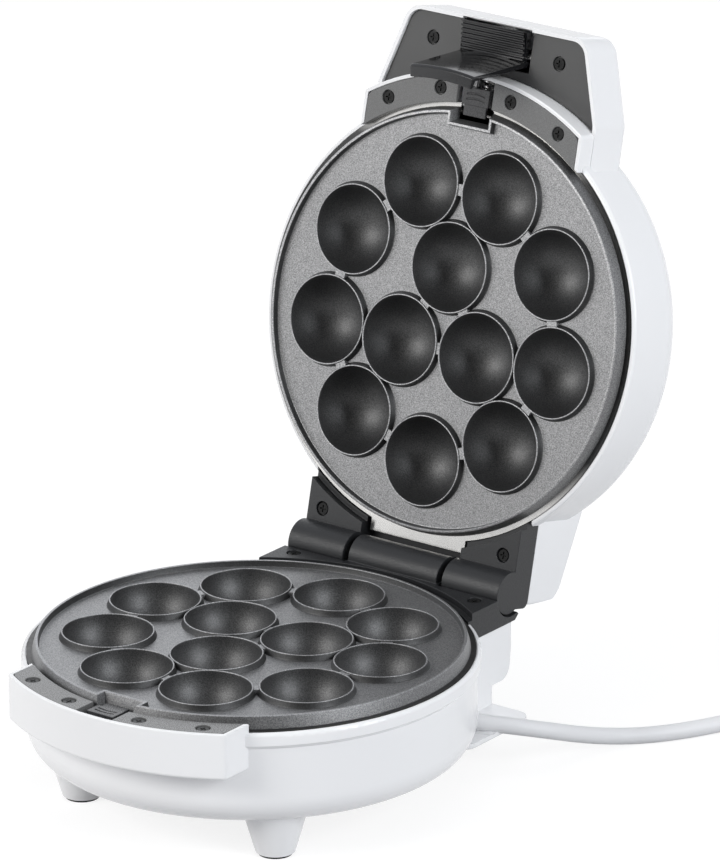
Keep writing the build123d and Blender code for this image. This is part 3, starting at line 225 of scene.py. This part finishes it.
def moulded_finish(
    name, colour, drift, roughness, grain=1500.0, relief=0.02, drift_size=20.0, **constants
):
    """A material with a moulded skin; whatever is the same all over sits on the shader itself."""
    material = bpy.data.materials.new(name)
    material.use_nodes = True
    nodes, links = material.node_tree.nodes, material.node_tree.links
    shader = nodes["Principled BSDF"]
    skin = nodes.new("ShaderNodeGroup")
    skin.node_tree = moulded
    skin.inputs["Colour"].default_value = (*colour, 1.0)
    skin.inputs["Drift colour"].default_value = (*drift, 1.0)
    skin.inputs["Drift size"].default_value = drift_size
    skin.inputs["Grain size"].default_value = grain
    skin.inputs["Smooth"].default_value = roughness[0]
    skin.inputs["Rough"].default_value = roughness[1]
    bump = nodes.new("ShaderNodeBump")
    bump.inputs["Strength"].default_value = 1.0
    bump.inputs["Distance"].default_value = relief * mm
    links.new(skin.outputs["Colour"], shader.inputs["Base Color"])
    links.new(skin.outputs["Roughness"], shader.inputs["Roughness"])
    links.new(skin.outputs["Height"], bump.inputs["Height"])
    links.new(bump.outputs["Normal"], shader.inputs["Normal"])
    for label, value in constants.items():
        shader.inputs[label.replace("_", " ")].default_value = value
    return material


def dress(piece, material):
    """Give a piece or a carried-over solid one finish in all its slots."""
    if not piece.data.materials:
        piece.data.materials.append(material)
    for index in range(len(piece.data.materials)):
        piece.data.materials[index] = material
    return piece


cord_sheath = moulded_finish(
    "cord sheath", (0.80, 0.80, 0.81), (0.74, 0.74, 0.75), (0.42, 0.55), grain=900.0, relief=0.03
)
dress(mains_cord, cord_sheath)
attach(mains_cord, "base")
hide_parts("cord_lead", "cord_coil")

# ---- Floor and light ------------------------------------------------------
# A white table top without an edge, one large soft light in front on the left, one on the
# right, and weak ones on the left, overhead and low behind, which skims the baking plate.
floor_half_width = 12.0
floor_mesh = bpy.data.meshes.new("floor")
floor_shape = bmesh.new()
bmesh.ops.create_grid(floor_shape, x_segments=1, y_segments=1, size=floor_half_width)
floor_shape.to_mesh(floor_mesh)
floor_shape.free()
floor = bpy.data.objects.new("floor", floor_mesh)
bpy.context.scene.collection.objects.link(floor)
floor_paint = bpy.data.materials.new("floor paint")
floor_paint.use_nodes = True
paint_nodes, paint_links = floor_paint.node_tree.nodes, floor_paint.node_tree.links
paint_nodes.remove(paint_nodes["Principled BSDF"])
seen_rays = paint_nodes.new("ShaderNodeLightPath")
camera_or_gloss = paint_nodes.new("ShaderNodeMath")
camera_or_gloss.operation = "MAXIMUM"
any_seen = paint_nodes.new("ShaderNodeMath")
any_seen.operation = "MAXIMUM"
matt = paint_nodes.new("ShaderNodeBsdfDiffuse")
matt.inputs["Color"].default_value = (0.50, 0.50, 0.51, 1.0)
shown_matt = paint_nodes.new("ShaderNodeBsdfDiffuse")
shown_matt.inputs["Color"].default_value = (0.26, 0.26, 0.26, 1.0)
shown_glow = paint_nodes.new("ShaderNodeEmission")
shown_glow.inputs["Strength"].default_value = 0.82
shown = paint_nodes.new("ShaderNodeAddShader")
chosen = paint_nodes.new("ShaderNodeMixShader")
paint_links.new(seen_rays.outputs["Is Camera Ray"], camera_or_gloss.inputs[0])
paint_links.new(seen_rays.outputs["Is Glossy Ray"], camera_or_gloss.inputs[1])
paint_links.new(camera_or_gloss.outputs[0], any_seen.inputs[0])
paint_links.new(seen_rays.outputs["Is Transmission Ray"], any_seen.inputs[1])
paint_links.new(shown_matt.outputs[0], shown.inputs[0])
paint_links.new(shown_glow.outputs[0], shown.inputs[1])
paint_links.new(any_seen.outputs[0], chosen.inputs["Fac"])
paint_links.new(matt.outputs[0], chosen.inputs[1])
paint_links.new(shown.outputs[0], chosen.inputs[2])
paint_links.new(chosen.outputs[0], paint_nodes["Material Output"].inputs["Surface"])
dress(floor, floor_paint)

# the backdrop behind is white where it is seen or mirrored, the room in front is dim, and
# as a lamp the room is even
world = bpy.data.worlds.new("studio")
world.use_nodes = True
room_nodes, room_links = world.node_tree.nodes, world.node_tree.links
room = room_nodes["Background"]
room_rays = room_nodes.new("ShaderNodeLightPath")
room_way = room_nodes.new("ShaderNodeTexCoord")
toward_front = room_nodes.new("ShaderNodeVectorMath")
toward_front.operation = "DOT_PRODUCT"
toward_front.inputs[1].default_value = (0.57, -0.75, 0.34)
mirrored = room_nodes.new("ShaderNodeMapRange")
mirrored.inputs["From Min"].default_value = -0.2
mirrored.inputs["From Max"].default_value = 0.8
mirrored.inputs["To Min"].default_value = 1.0
mirrored.inputs["To Max"].default_value = 0.0
lamp_or_mirror = room_nodes.new("ShaderNodeMix")
lamp_or_mirror.inputs["A"].default_value = 0.40
seen_room = room_nodes.new("ShaderNodeMix")
seen_room.inputs["B"].default_value = 1.0
room_clear = room_nodes.new("ShaderNodeMath")
room_clear.operation = "MAXIMUM"
room_tint = room_nodes.new("ShaderNodeMix")
room_tint.data_type = "RGBA"
room_tint.inputs[6].default_value = (0.93, 0.955, 1.0, 1.0)
room_tint.inputs[7].default_value = (1.0, 1.0, 1.0, 1.0)
room_links.new(room_way.outputs["Generated"], toward_front.inputs[0])
room_links.new(toward_front.outputs["Value"], mirrored.inputs["Value"])
room_links.new(room_rays.outputs["Is Glossy Ray"], lamp_or_mirror.inputs["Factor"])
room_links.new(mirrored.outputs["Result"], lamp_or_mirror.inputs["B"])
room_links.new(room_rays.outputs["Is Camera Ray"], room_clear.inputs[0])
room_links.new(room_rays.outputs["Is Transmission Ray"], room_clear.inputs[1])
room_links.new(room_clear.outputs[0], seen_room.inputs["Factor"])
room_links.new(lamp_or_mirror.outputs["Result"], seen_room.inputs["A"])
room_links.new(seen_room.outputs["Result"], room.inputs["Strength"])
room_links.new(room_clear.outputs[0], room_tint.inputs["Factor"])
room_links.new(room_tint.outputs[2], room.inputs["Color"])
bpy.context.scene.world = world


def soft_light(name, place, aim, width, height, watts, tint=(1.0, 1.0, 1.0)):
    """A rectangular soft box at place, turned toward aim."""
    light = bpy.data.lights.new(name, "AREA")
    light.color = tint
    light.shape = "RECTANGLE"
    light.size = width
    light.size_y = height
    light.energy = watts
    box = bpy.data.objects.new(name, light)
    turn = (Vector(aim) - Vector(place)).to_track_quat("-Z", "Y")
    box.matrix_world = Matrix.Translation(Vector(place)) @ turn.to_matrix().to_4x4()
    bpy.context.scene.collection.objects.link(box)
    return box


maker_middle = (0.0, 0.0, 0.14)
bowl_middle = (0.0, 0.0, 0.1)
neck_middle = (0.0, 0.0, 0.12)
warm = (1.0, 0.99, 0.97)
cool = (0.95, 0.975, 1.0)
soft_light("front_light", (-1.0, -2.35, 1.55), maker_middle, 1.3, 1.1, 42.0, warm)
soft_light("left_light", (-2.3, -1.9, 0.7), maker_middle, 1.6, 1.4, 10.0)
soft_light("right_light", (2.3, -0.2, 1.2), neck_middle, 1.0, 1.2, 35.0, cool)
soft_light("top_light", (0.2, 0.3, 2.6), bowl_middle, 1.4, 1.4, 5.0)
soft_light("back_light", (-1.7, 2.1, 1.05), bowl_middle, 1.8, 1.4, 5.0)

# ---- Housings -------------------------------------------------------------
# Bowl of the base, its bottom cover and the lid's shell with the handle: injection-moulded
# glossy white plastic, screwed together from below.
shell_white = moulded_finish(
    "shell white",
    (0.875, 0.875, 0.88),
    (0.855, 0.855, 0.865),
    (0.16, 0.24),
    grain=260.0,
    relief=0.012,
    drift_size=9.0,
)
for node in ("base_housing", "bottom_cover", "lid_housing"):
    dress(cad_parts[node], shell_white)

# ---- Rubber feet ----------------------------------------------------------
# Four round black rubber pads, pressed into the ends of the feet from below, so that the maker
# stands firm and doesn't mark the table.
# the rubber's own black, darkened further as painted shade under the foot
foot_rubber_and_shade = moulded_finish(
    "foot rubber", (0.004, 0.004, 0.004), (0.007, 0.007, 0.007), (0.7, 0.85),
    grain=1800.0, relief=0.06,
)
dress(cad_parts["foot_pads"], foot_rubber_and_shade)

# ---- Baking plates --------------------------------------------------------
# Die-cast aluminium, sprayed with a speckled grey non-stick coat. Twelve half-ball cups hang
# in each, nine round three, with thin raised rims that flat webs tie together.
# How light or dark the coat is painted at each place is kept on the mesh as "shade", 0 dark
# to 1 light: painted highlights on the crowns, webs and flanks, painted shade in the cups and
# walls.
def grey_ramp(nodes, stops):
    """A ramp of greys from stops of place and tone, the first at 0 and the last at 1."""
    ramp = nodes.new("ShaderNodeValToRGB")
    elements = ramp.color_ramp.elements
    for place, tone in stops[1:-1]:
        elements.new(place)
    for element, (place, tone) in zip(elements, stops):
        element.color = (tone, tone, tone, 1.0)
    return ramp


coat_grey = bpy.data.materials.new("non-stick coat")
coat_grey.use_nodes = True
coat_nodes, coat_links = coat_grey.node_tree.nodes, coat_grey.node_tree.links
coat = coat_nodes["Principled BSDF"]
coat_place = coat_nodes.new("ShaderNodeTexCoord")
flecks = coat_nodes.new("ShaderNodeTexNoise")
flecks.inputs["Scale"].default_value = 2100.0
flecks.inputs["Detail"].default_value = 2.0
fleck_tone = coat_nodes.new("ShaderNodeMapRange")
fleck_tone.inputs["From Min"].default_value = 0.36
fleck_tone.inputs["From Max"].default_value = 0.66
coat_tone = coat_nodes.new("ShaderNodeMix")
coat_tone.data_type = "RGBA"
coat_tone.inputs[6].default_value = (0.130, 0.131, 0.136, 1.0)
coat_tone.inputs[7].default_value = (0.340, 0.340, 0.343, 1.0)
coat_gloss = coat_nodes.new("ShaderNodeMapRange")
coat_gloss.inputs["To Min"].default_value = 0.42
coat_gloss.inputs["To Max"].default_value = 0.54
coat_bump = coat_nodes.new("ShaderNodeBump")
coat_bump.inputs["Distance"].default_value = 0.035 * mm
shade_read = coat_nodes.new("ShaderNodeAttribute")
shade_read.attribute_name = "shade"
# the painted light and shade kept as "shade" scales the coat's tone here
shade_tones = ((0.0, 0.12), (0.25, 0.32), (0.5, 1.0), (0.75, 1.5), (1.0, 2.2))
shade_ramp = grey_ramp(coat_nodes, shade_tones)
shaded_tone = coat_nodes.new("ShaderNodeMix")
shaded_tone.data_type = "RGBA"
shaded_tone.blend_type = "MULTIPLY"
shaded_tone.inputs["Factor"].default_value = 1.0
coat.inputs["Metallic"].default_value = 0.8
coat.inputs["IOR"].default_value = 1.45
coat.inputs["Coat Weight"].default_value = 0.9
coat.inputs["Coat Roughness"].default_value = 0.55
coat_links.new(coat_place.outputs["Object"], flecks.inputs["Vector"])
coat_links.new(flecks.outputs["Fac"], fleck_tone.inputs["Value"])
coat_links.new(fleck_tone.outputs["Result"], coat_tone.inputs["Factor"])
coat_links.new(flecks.outputs["Fac"], coat_gloss.inputs["Value"])
coat_links.new(flecks.outputs["Fac"], coat_bump.inputs["Height"])
coat_links.new(shade_read.outputs["Fac"], shade_ramp.inputs["Fac"])
coat_links.new(coat_tone.outputs[2], shaded_tone.inputs[6])
coat_links.new(shade_ramp.outputs["Color"], shaded_tone.inputs[7])
coat_links.new(shaded_tone.outputs[2], coat.inputs["Base Color"])
coat_links.new(coat_gloss.outputs["Result"], coat.inputs["Roughness"])
coat_links.new(coat_bump.outputs["Normal"], coat.inputs["Normal"])

# half the gap between the closed plates, and the plate's own sizes from there
plate_gap = 0.15
plate_foot = -5.3
plate_foot_radius = 92.0
plate_steps = 240
# painted light and shade of the coat: a lit flank, the floor, shaded cups, highlighted crowns,
# shaded rim walls and lighter webs
flank_shade = 0.38
floor_shade = 0.5
ball_shade = 0.25
crown_shade = 0.75
rim_wall_shade = 0.04
web_shade = 0.6
# the edge lip from the foot up and over, as steps inward and upward, and how light the coat
# is painted there: the lip's crown carries a painted highlight, its inner wall painted shade
edge_lip_steps = (
    (1.45, 4.80, flank_shade), (0.10, 0.22, 0.60), (0.20, 0.13, 0.70), (0.85, 0.0, 0.70),
    (0.12, -0.10, 0.55), (0.06, -0.20, 0.06), (0.32, -2.05, 0.06), (0.10, -0.20, 0.25),
    (0.16, -0.10, floor_shade), (0.40, 0.0, floor_shade),
)
rim_foot = 19.35
web_width = 5.0
web_top = 0.7
web_depth = 2.6
# rims whose cups stand nearer than this are tied by a web
tied_within = 42.0
notch_half_width = 8.7
notch_radius = 86.4
notch_mouth = 6.2
cup_steps = 64
ball_steps = 20
ball_end = 88.0
ball_radius = 19.0
cup_hole_radius = 20.0
outer_ring_radius = 60.7
inner_ring_radius = 23.5
cup_places = [
    (ring * math.sin(math.radians(angle)), -ring * math.cos(math.radians(angle)))
    for ring, count, first in ((outer_ring_radius, 9, 180.0), (inner_ring_radius, 3, 0.0))
    for angle in [first + 360.0 / count * k for k in range(count)]
]


def plate_outline(shape, height):
    """The plate's round edge with the clip's notch at the front, as one face."""
    ring = bmesh.ops.create_circle(shape, segments=plate_steps, radius=plate_foot_radius)["verts"]
    bmesh.ops.translate(shape, verts=ring, vec=(0.0, 0.0, height))
    in_notch = [v for v in ring if abs(v.co.x) < notch_half_width + notch_mouth and v.co.y < 0]
    mouth = -math.sqrt(plate_foot_radius**2 - notch_half_width**2)
    corners = [(notch_half_width, mouth), (notch_half_width, -notch_radius)]
    kept = [v for v in ring if v not in in_notch]
    kept.sort(key=lambda v: -math.atan2(v.co.x, v.co.y))
    bmesh.ops.delete(shape, geom=in_notch, context="VERTS")
    turned = [shape.verts.new((-x, y, height)) for x, y in corners]
    turned += [shape.verts.new((x, y, height)) for x, y in reversed(corners)]
    return shape.faces.new(kept + turned)


def circle_edges(shape, x, y, height):
    """One round hole's edge loop on the plate's floor."""
    made = bmesh.ops.create_circle(shape, segments=cup_steps, radius=cup_hole_radius)["verts"]
    bmesh.ops.translate(shape, verts=made, vec=(x, y, height))
    return list(dict.fromkeys(edge for vert in made for edge in vert.link_edges))


def cup_profile():
    """Half section of a cup, from the bottom of its ball up over the rim and down outside."""
    ball = []
    for step in range(ball_steps + 1):
        dip = math.radians(90 - ball_end * step / ball_steps)
        ball.append((ball_radius * math.cos(dip), -plate_gap - ball_radius * math.sin(dip)))
    rim = [
        (19.03, -0.40), (19.10, -0.25), (19.22, -0.17), (19.36, -0.15), (19.50, -0.17),
        (19.61, -0.25), (19.69, -0.42), (19.80, -0.80), (20.08, -1.6), (20.34, -2.35),
        (20.48, -2.66), (20.68, -2.80), (20.80, -3.0), (20.2, -4.0),
    ]
    under = [(20.4, -6.0), (18.6, -12.0), (16.4, -16.0), (12.6, -19.4), (7.2, -21.1), (0.0, -21.1)]
    return [(0.0, ball[0][1])] + ball[1:] + rim + under


cup_shape = bmesh.new()
cup_verts = [cup_shape.verts.new((radius, 0.0, height)) for radius, height in cup_profile()]
cup_edges = [cup_shape.edges.new(pair) for pair in zip(cup_verts, cup_verts[1:])]
bmesh.ops.spin(
    cup_shape, geom=cup_verts + cup_edges, cent=(0, 0, 0), axis=(0, 0, 1),
    angle=2 * math.pi, steps=cup_steps, use_merge=True,
)
bmesh.ops.remove_doubles(cup_shape, verts=cup_shape.verts, dist=0.001)
bmesh.ops.recalc_face_normals(cup_shape, faces=cup_shape.faces)
# a spin leaves its faces in no fixed order, so they are put in one, the same each run
sorting_way = Vector((1.0, 7.3, 53.0))
cup_shape.faces.sort(key=lambda face: face.calc_center_median().dot(sorting_way))
shade = cup_shape.verts.layers.float.new("shade")
# painted highlight on the rim's crown, painted shade in the ball and on the rim's outer wall
for vert in cup_shape.verts:
    radius = math.hypot(vert.co.x, vert.co.y)
    if vert.co.z > -0.3 and radius > ball_radius:
        vert[shade] = crown_shade
    elif radius < ball_radius + 0.05:
        vert[shade] = ball_shade
    else:
        vert[shade] = rim_wall_shade
cup_mesh = bpy.data.meshes.new("cup")
cup_shape.to_mesh(cup_mesh)
cup_shape.free()


def cast_plate():
    """The whole plate, drawn face up about the plates' middle, in millimetres."""
    shape = bmesh.new()
    shade = shape.verts.layers.float.new("shade")
    top = plate_outline(shape, plate_foot)
    for vert in shape.verts:
        vert[shade] = flank_shade
    for inward, rise, lightness in edge_lip_steps:
        shape.normal_update()
        bmesh.ops.inset_region(
            shape, faces=[top], thickness=inward, depth=rise,
            use_boundary=True, use_even_offset=True,
        )
        for vert in top.verts:
            vert[shade] = lightness
    floor_height = top.verts[0].co.z
    rim_edges = list(top.edges)
    foot_edges = [edge for edge in shape.edges if edge.is_boundary]
    bmesh.ops.delete(shape, geom=[top], context="FACES_ONLY")
    upper = [circle_edges(shape, x, y, floor_height) for x, y in cup_places]
    lower = [circle_edges(shape, x, y, plate_foot) for x, y in cup_places]
    for vert in (vert for loop in upper for edge in loop for vert in edge.verts):
        vert[shade] = floor_shade
    for border, holes in ((rim_edges, upper), (foot_edges, lower)):
        hole_edges = [edge for loop in holes for edge in loop]
        bmesh.ops.triangle_fill(shape, edges=border + hole_edges, use_beauty=True)
    for above, below in zip(upper, lower):
        bmesh.ops.bridge_loops(shape, edges=above + below)
    bmesh.ops.recalc_face_normals(shape, faces=shape.faces)
    # flat webs between rims that all but touch
    for i, (xa, ya) in enumerate(cup_places):
        for xb, yb in cup_places[i + 1:]:
            distance = math.hypot(xa - xb, ya - yb)
            if distance < tied_within:
                web = bmesh.ops.create_cube(shape, size=1.0)["verts"]
                for vert in web:
                    vert[shade] = web_shade
                web_size = (distance - 2 * rim_foot, web_width, web_depth)
                bmesh.ops.scale(shape, verts=web, vec=web_size)
                bmesh.ops.translate(shape, verts=web, vec=(0.0, 0.0, -web_top - web_depth / 2))
                bearing = math.atan2(yb - ya, xb - xa)
                bmesh.ops.rotate(shape, verts=web, matrix=Matrix.Rotation(bearing, 3, "Z"))
                bmesh.ops.translate(shape, verts=web, vec=((xa + xb) / 2, (ya + yb) / 2, 0.0))
    # the cups, each a closed shell about its own centre
    for x, y in cup_places:
        before = len(shape.verts)
        shape.from_mesh(cup_mesh)
        shape.verts.ensure_lookup_table()
        bmesh.ops.translate(shape, verts=shape.verts[before:], vec=(x, y, 0.0))
    return shape


hinge_back = 106.7
hinge_drop = 1.4
open_angle = math.radians(103.6)
hinge_line = Vector((0.0, hinge_back, -hinge_drop))
swing = (
    Matrix.Translation(plates_middle * mm)
    @ Matrix.Scale(mm, 4)
    @ Matrix.Translation(hinge_line)
    @ Matrix.Rotation(-open_angle, 4, "X")
    @ Matrix.Translation(-hinge_line)
)
stand = Matrix.Translation(plates_middle * mm) @ Matrix.Scale(mm, 4)
over = Matrix.Scale(-1.0, 4, (0.0, 0.0, 1.0))


def set_down(shape, name, matrix, body, replaced, material, smooth=35.0):
    """Turn a bmesh in millimetres into a piece in its place, riding on its body."""
    bmesh.ops.transform(shape, matrix=matrix, verts=shape.verts)
    if matrix.determinant() < 0:
        bmesh.ops.reverse_faces(shape, faces=shape.faces)
    mesh = bpy.data.meshes.new(name)
    shape.to_mesh(mesh)
    shape.free()
    for polygon in mesh.polygons:
        polygon.use_smooth = True
    mesh.set_sharp_from_angle(angle=math.radians(smooth))
    piece = bpy.data.objects.new(name, mesh)
    bpy.context.scene.collection.objects.link(piece)
    dress(piece, material)
    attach(piece, body)
    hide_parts(*replaced)
    return piece


for half, matrix in (("base", stand), ("lid", swing @ over)):
    set_down(
        cast_plate(), half + "_plate_casting", matrix, half, [half + "_baking_plate"],
        coat_grey,
    )

# ---- Reflector dishes -----------------------------------------------------
# Bright pressed sheet that throws the heat back at the plate; each dish hangs in its housing
# and its rolled edge shows round the plate. The base's one is painted dark as painted shade in the
# gap round its plate.
# painted shade: the base's dish is coloured dark for the gap round its plate
shaded_sheet_metal = moulded_finish(
    "painted shade sheet", (0.10, 0.098, 0.095), (0.07, 0.07, 0.07), (0.40, 0.50),
    grain=300.0, relief=0.001, drift_size=60.0, Metallic=1.0,
)
# the lid's dish is bright where its rim lies open beside the hinge and under the handle, and
# painted dark elsewhere as painted shade for the gap round its plate
dish_metal = moulded_finish(
    "bright sheet", (0.70, 0.69, 0.67), (0.55, 0.54, 0.52), (0.18, 0.26),
    grain=300.0, relief=0.001, drift_size=60.0, Metallic=1.0,
)
dish_nodes, dish_links = dish_metal.node_tree.nodes, dish_metal.node_tree.links
dish_place = dish_nodes.new("ShaderNodeTexCoord")
dish_height = dish_nodes.new("ShaderNodeSeparateXYZ")
# how much painted shade darkens the sheet at each height above the table in metres, while the lid
# stands open
painted_shade_at_heights = (
    (0.0, 0.0), (0.100, 0.0), (0.125, 1.0), (0.238, 1.0), (0.248, 0.25), (1.0, 0.25),
)
painted_shade_ramp = grey_ramp(dish_nodes, painted_shade_at_heights)
dish_tone = dish_nodes.new("ShaderNodeMix")
dish_tone.data_type = "RGBA"
# the colour of the painted shade
dish_tone.inputs[7].default_value = (0.05, 0.05, 0.05, 1.0)
dish_links.new(dish_place.outputs["Object"], dish_height.inputs["Vector"])
dish_links.new(dish_height.outputs["Z"], painted_shade_ramp.inputs["Fac"])
dish_links.new(painted_shade_ramp.outputs["Color"], dish_tone.inputs["Factor"])
dish_links.new(dish_nodes["Group"].outputs["Colour"], dish_tone.inputs[6])
dish_links.new(dish_tone.outputs[2], dish_nodes["Principled BSDF"].inputs["Base Color"])
dress(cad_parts["lid_reflector"], dish_metal)
dress(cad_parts["base_reflector"], shaded_sheet_metal)

# ---- Black mouldings ------------------------------------------------------
# Inlays of the handle bands, cover of the lid's handle and both hinge blocks: black plastic
# with a fine satin texture from the tool, its edges a little broken.
# the inlays' black plastic is lifted well above black as painted sheen, for the gloss they show at
# a grazing view
insert_black_and_sheen = moulded_finish(
    "insert black and painted sheen", (0.125, 0.125, 0.125), (0.155, 0.155, 0.153), (0.22, 0.32),
    grain=2400.0, relief=0.04,
)
cover_black = moulded_finish(
    "cover black", (0.042, 0.042, 0.043), (0.064, 0.064, 0.063), (0.38, 0.52),
    grain=2400.0, relief=0.04,
)
hinge_black = moulded_finish(
    "hinge black", (0.011, 0.0115, 0.013), (0.018, 0.019, 0.021), (0.36, 0.54),
    grain=1500.0, relief=0.08,
)
# corners of the CAD triangles nearer than this, in metres, are one
same_place = 0.000002
still_flat = math.radians(0.5)


def broken_edges(node, width, body, material, sharper_than=35.0):
    """A copy of a carried-over solid with its sharp edges rounded by width, in millimetres."""
    shape = bmesh.new()
    shape.from_mesh(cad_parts[node].data)
    bmesh.ops.remove_doubles(shape, verts=shape.verts, dist=same_place)
    bmesh.ops.dissolve_limit(
        shape, angle_limit=still_flat, verts=shape.verts, edges=shape.edges, delimit={"NORMAL"}
    )
    sharp = [
        edge for edge in shape.edges
        if edge.is_manifold and edge.calc_face_angle() > math.radians(sharper_than)
    ]
    bmesh.ops.bevel(
        shape, geom=sharp, offset=width * mm, offset_type="OFFSET", segments=2, profile=0.5,
        affect="EDGES", material=-1, clamp_overlap=False,
    )
    bmesh.ops.recalc_face_normals(shape, faces=shape.faces)
    piece = set_down(
        shape, node + "_moulding", Matrix.Identity(4), body, [node], material, smooth=60.0
    )
    weighting = piece.modifiers.new("even shading", "WEIGHTED_NORMAL")
    weighting.keep_sharp = True
    return piece


for node, material, slot, body in (
    ("base_insert_left", insert_black_and_sheen, "black_satin", "base"),
    ("base_insert_right", insert_black_and_sheen, "black_satin", "base"),
    ("lid_insert_left", insert_black_and_sheen, "black_satin", "lid"),
    ("lid_insert_right", insert_black_and_sheen, "black_satin", "lid"),
    ("lid_handle_cover", cover_black, "black_satin", "lid"),
    ("base_hinge_block", hinge_black, "black_satin", "base"),
    ("lid_hinge_block", hinge_black, "black_satin", "lid"),
):
    broken_edges(node, 0.25, body, material)

# ---- Screws ---------------------------------------------------------------
# Blackened cross-head screws, sunk in counterbores, that hold the inlays, the hinge blocks,
# the handle's cover and the bottom cover.
screw_black = moulded_finish(
    "screw black", (0.005, 0.005, 0.005), (0.010, 0.010, 0.010), (0.26, 0.36),
    Specular_IOR_Level=0.2,
)
for node in (
    "bottom_screws", "base_insert_screws", "lid_insert_screws", "base_hinge_screws",
    "lid_hinge_screws", "lid_cover_screws",
):
    dress(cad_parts[node], screw_black)

# ---- Latch ----------------------------------------------------------------
# Squeeze latch in the lid's handle: one polished black moulding with a ribbed finger pad and
# a long arm that hooks under the base's band. It swings on a pin against a spring.
latch_black = moulded_finish(
    "latch black", (0.007, 0.007, 0.008), (0.010, 0.010, 0.011), (0.09, 0.15),
    grain=900.0, relief=0.004,
)
broken_edges("latch", 0.22, "latch", latch_black)

# ---- Plate clips ----------------------------------------------------------
# Dark grey sliding clips, one in each handle band, that hold the plates' tongues. Two arcs are
# sunk in each for the fingertip.
clip_grey = moulded_finish(
    "clip grey", (0.026, 0.026, 0.028), (0.038, 0.038, 0.040), (0.22, 0.34),
    grain=1800.0, relief=0.02,
)
for half in ("base", "lid"):
    broken_edges(half + "_plate_clip", 0.18, half + "_plate_clip", clip_grey)

# ---- Springs, pins, elements and electrics --------------------------------
# What sits inside: steel springs and pins, the tubular elements, the thermostat with its fuse,
# the terminal block and its insulated leads.
bare_steel = moulded_finish(
    "bare steel", (0.60, 0.60, 0.59), (0.48, 0.48, 0.47), (0.22, 0.38), Metallic=1.0
)
element_steel = moulded_finish(
    "element steel", (0.36, 0.33, 0.30), (0.22, 0.20, 0.19), (0.35, 0.5),
    drift_size=120.0, Metallic=1.0,
)
inner_plastic = moulded_finish(
    "inner plastic", (0.62, 0.60, 0.55), (0.55, 0.53, 0.48), (0.4, 0.55)
)
fuse_metal = moulded_finish(
    "fuse metal", (0.66, 0.64, 0.60), (0.52, 0.50, 0.47), (0.25, 0.4), Metallic=1.0
)
lead_sleeve = moulded_finish(
    "lead sleeve", (0.70, 0.69, 0.66), (0.60, 0.59, 0.56), (0.5, 0.65), grain=2500.0
)
pin_brass = moulded_finish(
    "pin brass", (0.72, 0.68, 0.58), (0.62, 0.58, 0.48), (0.2, 0.32), Metallic=1.0
)
red_lens = moulded_finish(
    "red lens", (0.45, 0.02, 0.015), (0.40, 0.015, 0.01), (0.08, 0.14), Transmission_Weight=0.5
)
green_lens = moulded_finish(
    "green lens", (0.02, 0.32, 0.05), (0.015, 0.28, 0.04), (0.08, 0.14), Transmission_Weight=0.5
)
lamp_glass = moulded_finish(
    "lamp glass", (0.8, 0.75, 0.7), (0.75, 0.7, 0.65), (0.05, 0.1), Transmission_Weight=0.8
)
for material, nodes in (
    (bare_steel, ("hinge_pin", "latch_pin", "base_clip_spring", "lid_clip_spring", "latch_spring")),
    (element_steel, ("base_heating_element", "lid_heating_element")),
    (inner_plastic, ("terminal_block", "lamp_carrier")),
    (fuse_metal, ("thermostat", "thermal_fuse")),
    (lead_sleeve, ("internal_leads",)),
    (pin_brass, ("plug_pins",)),
    (red_lens, ("power_lens",)),
    (green_lens, ("ready_lens",)),
    (lamp_glass, ("indicator_lamps",)),
    (cord_sheath, ("strain_relief", "plug")),
):
    for node in nodes:
        dress(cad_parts[node], material)
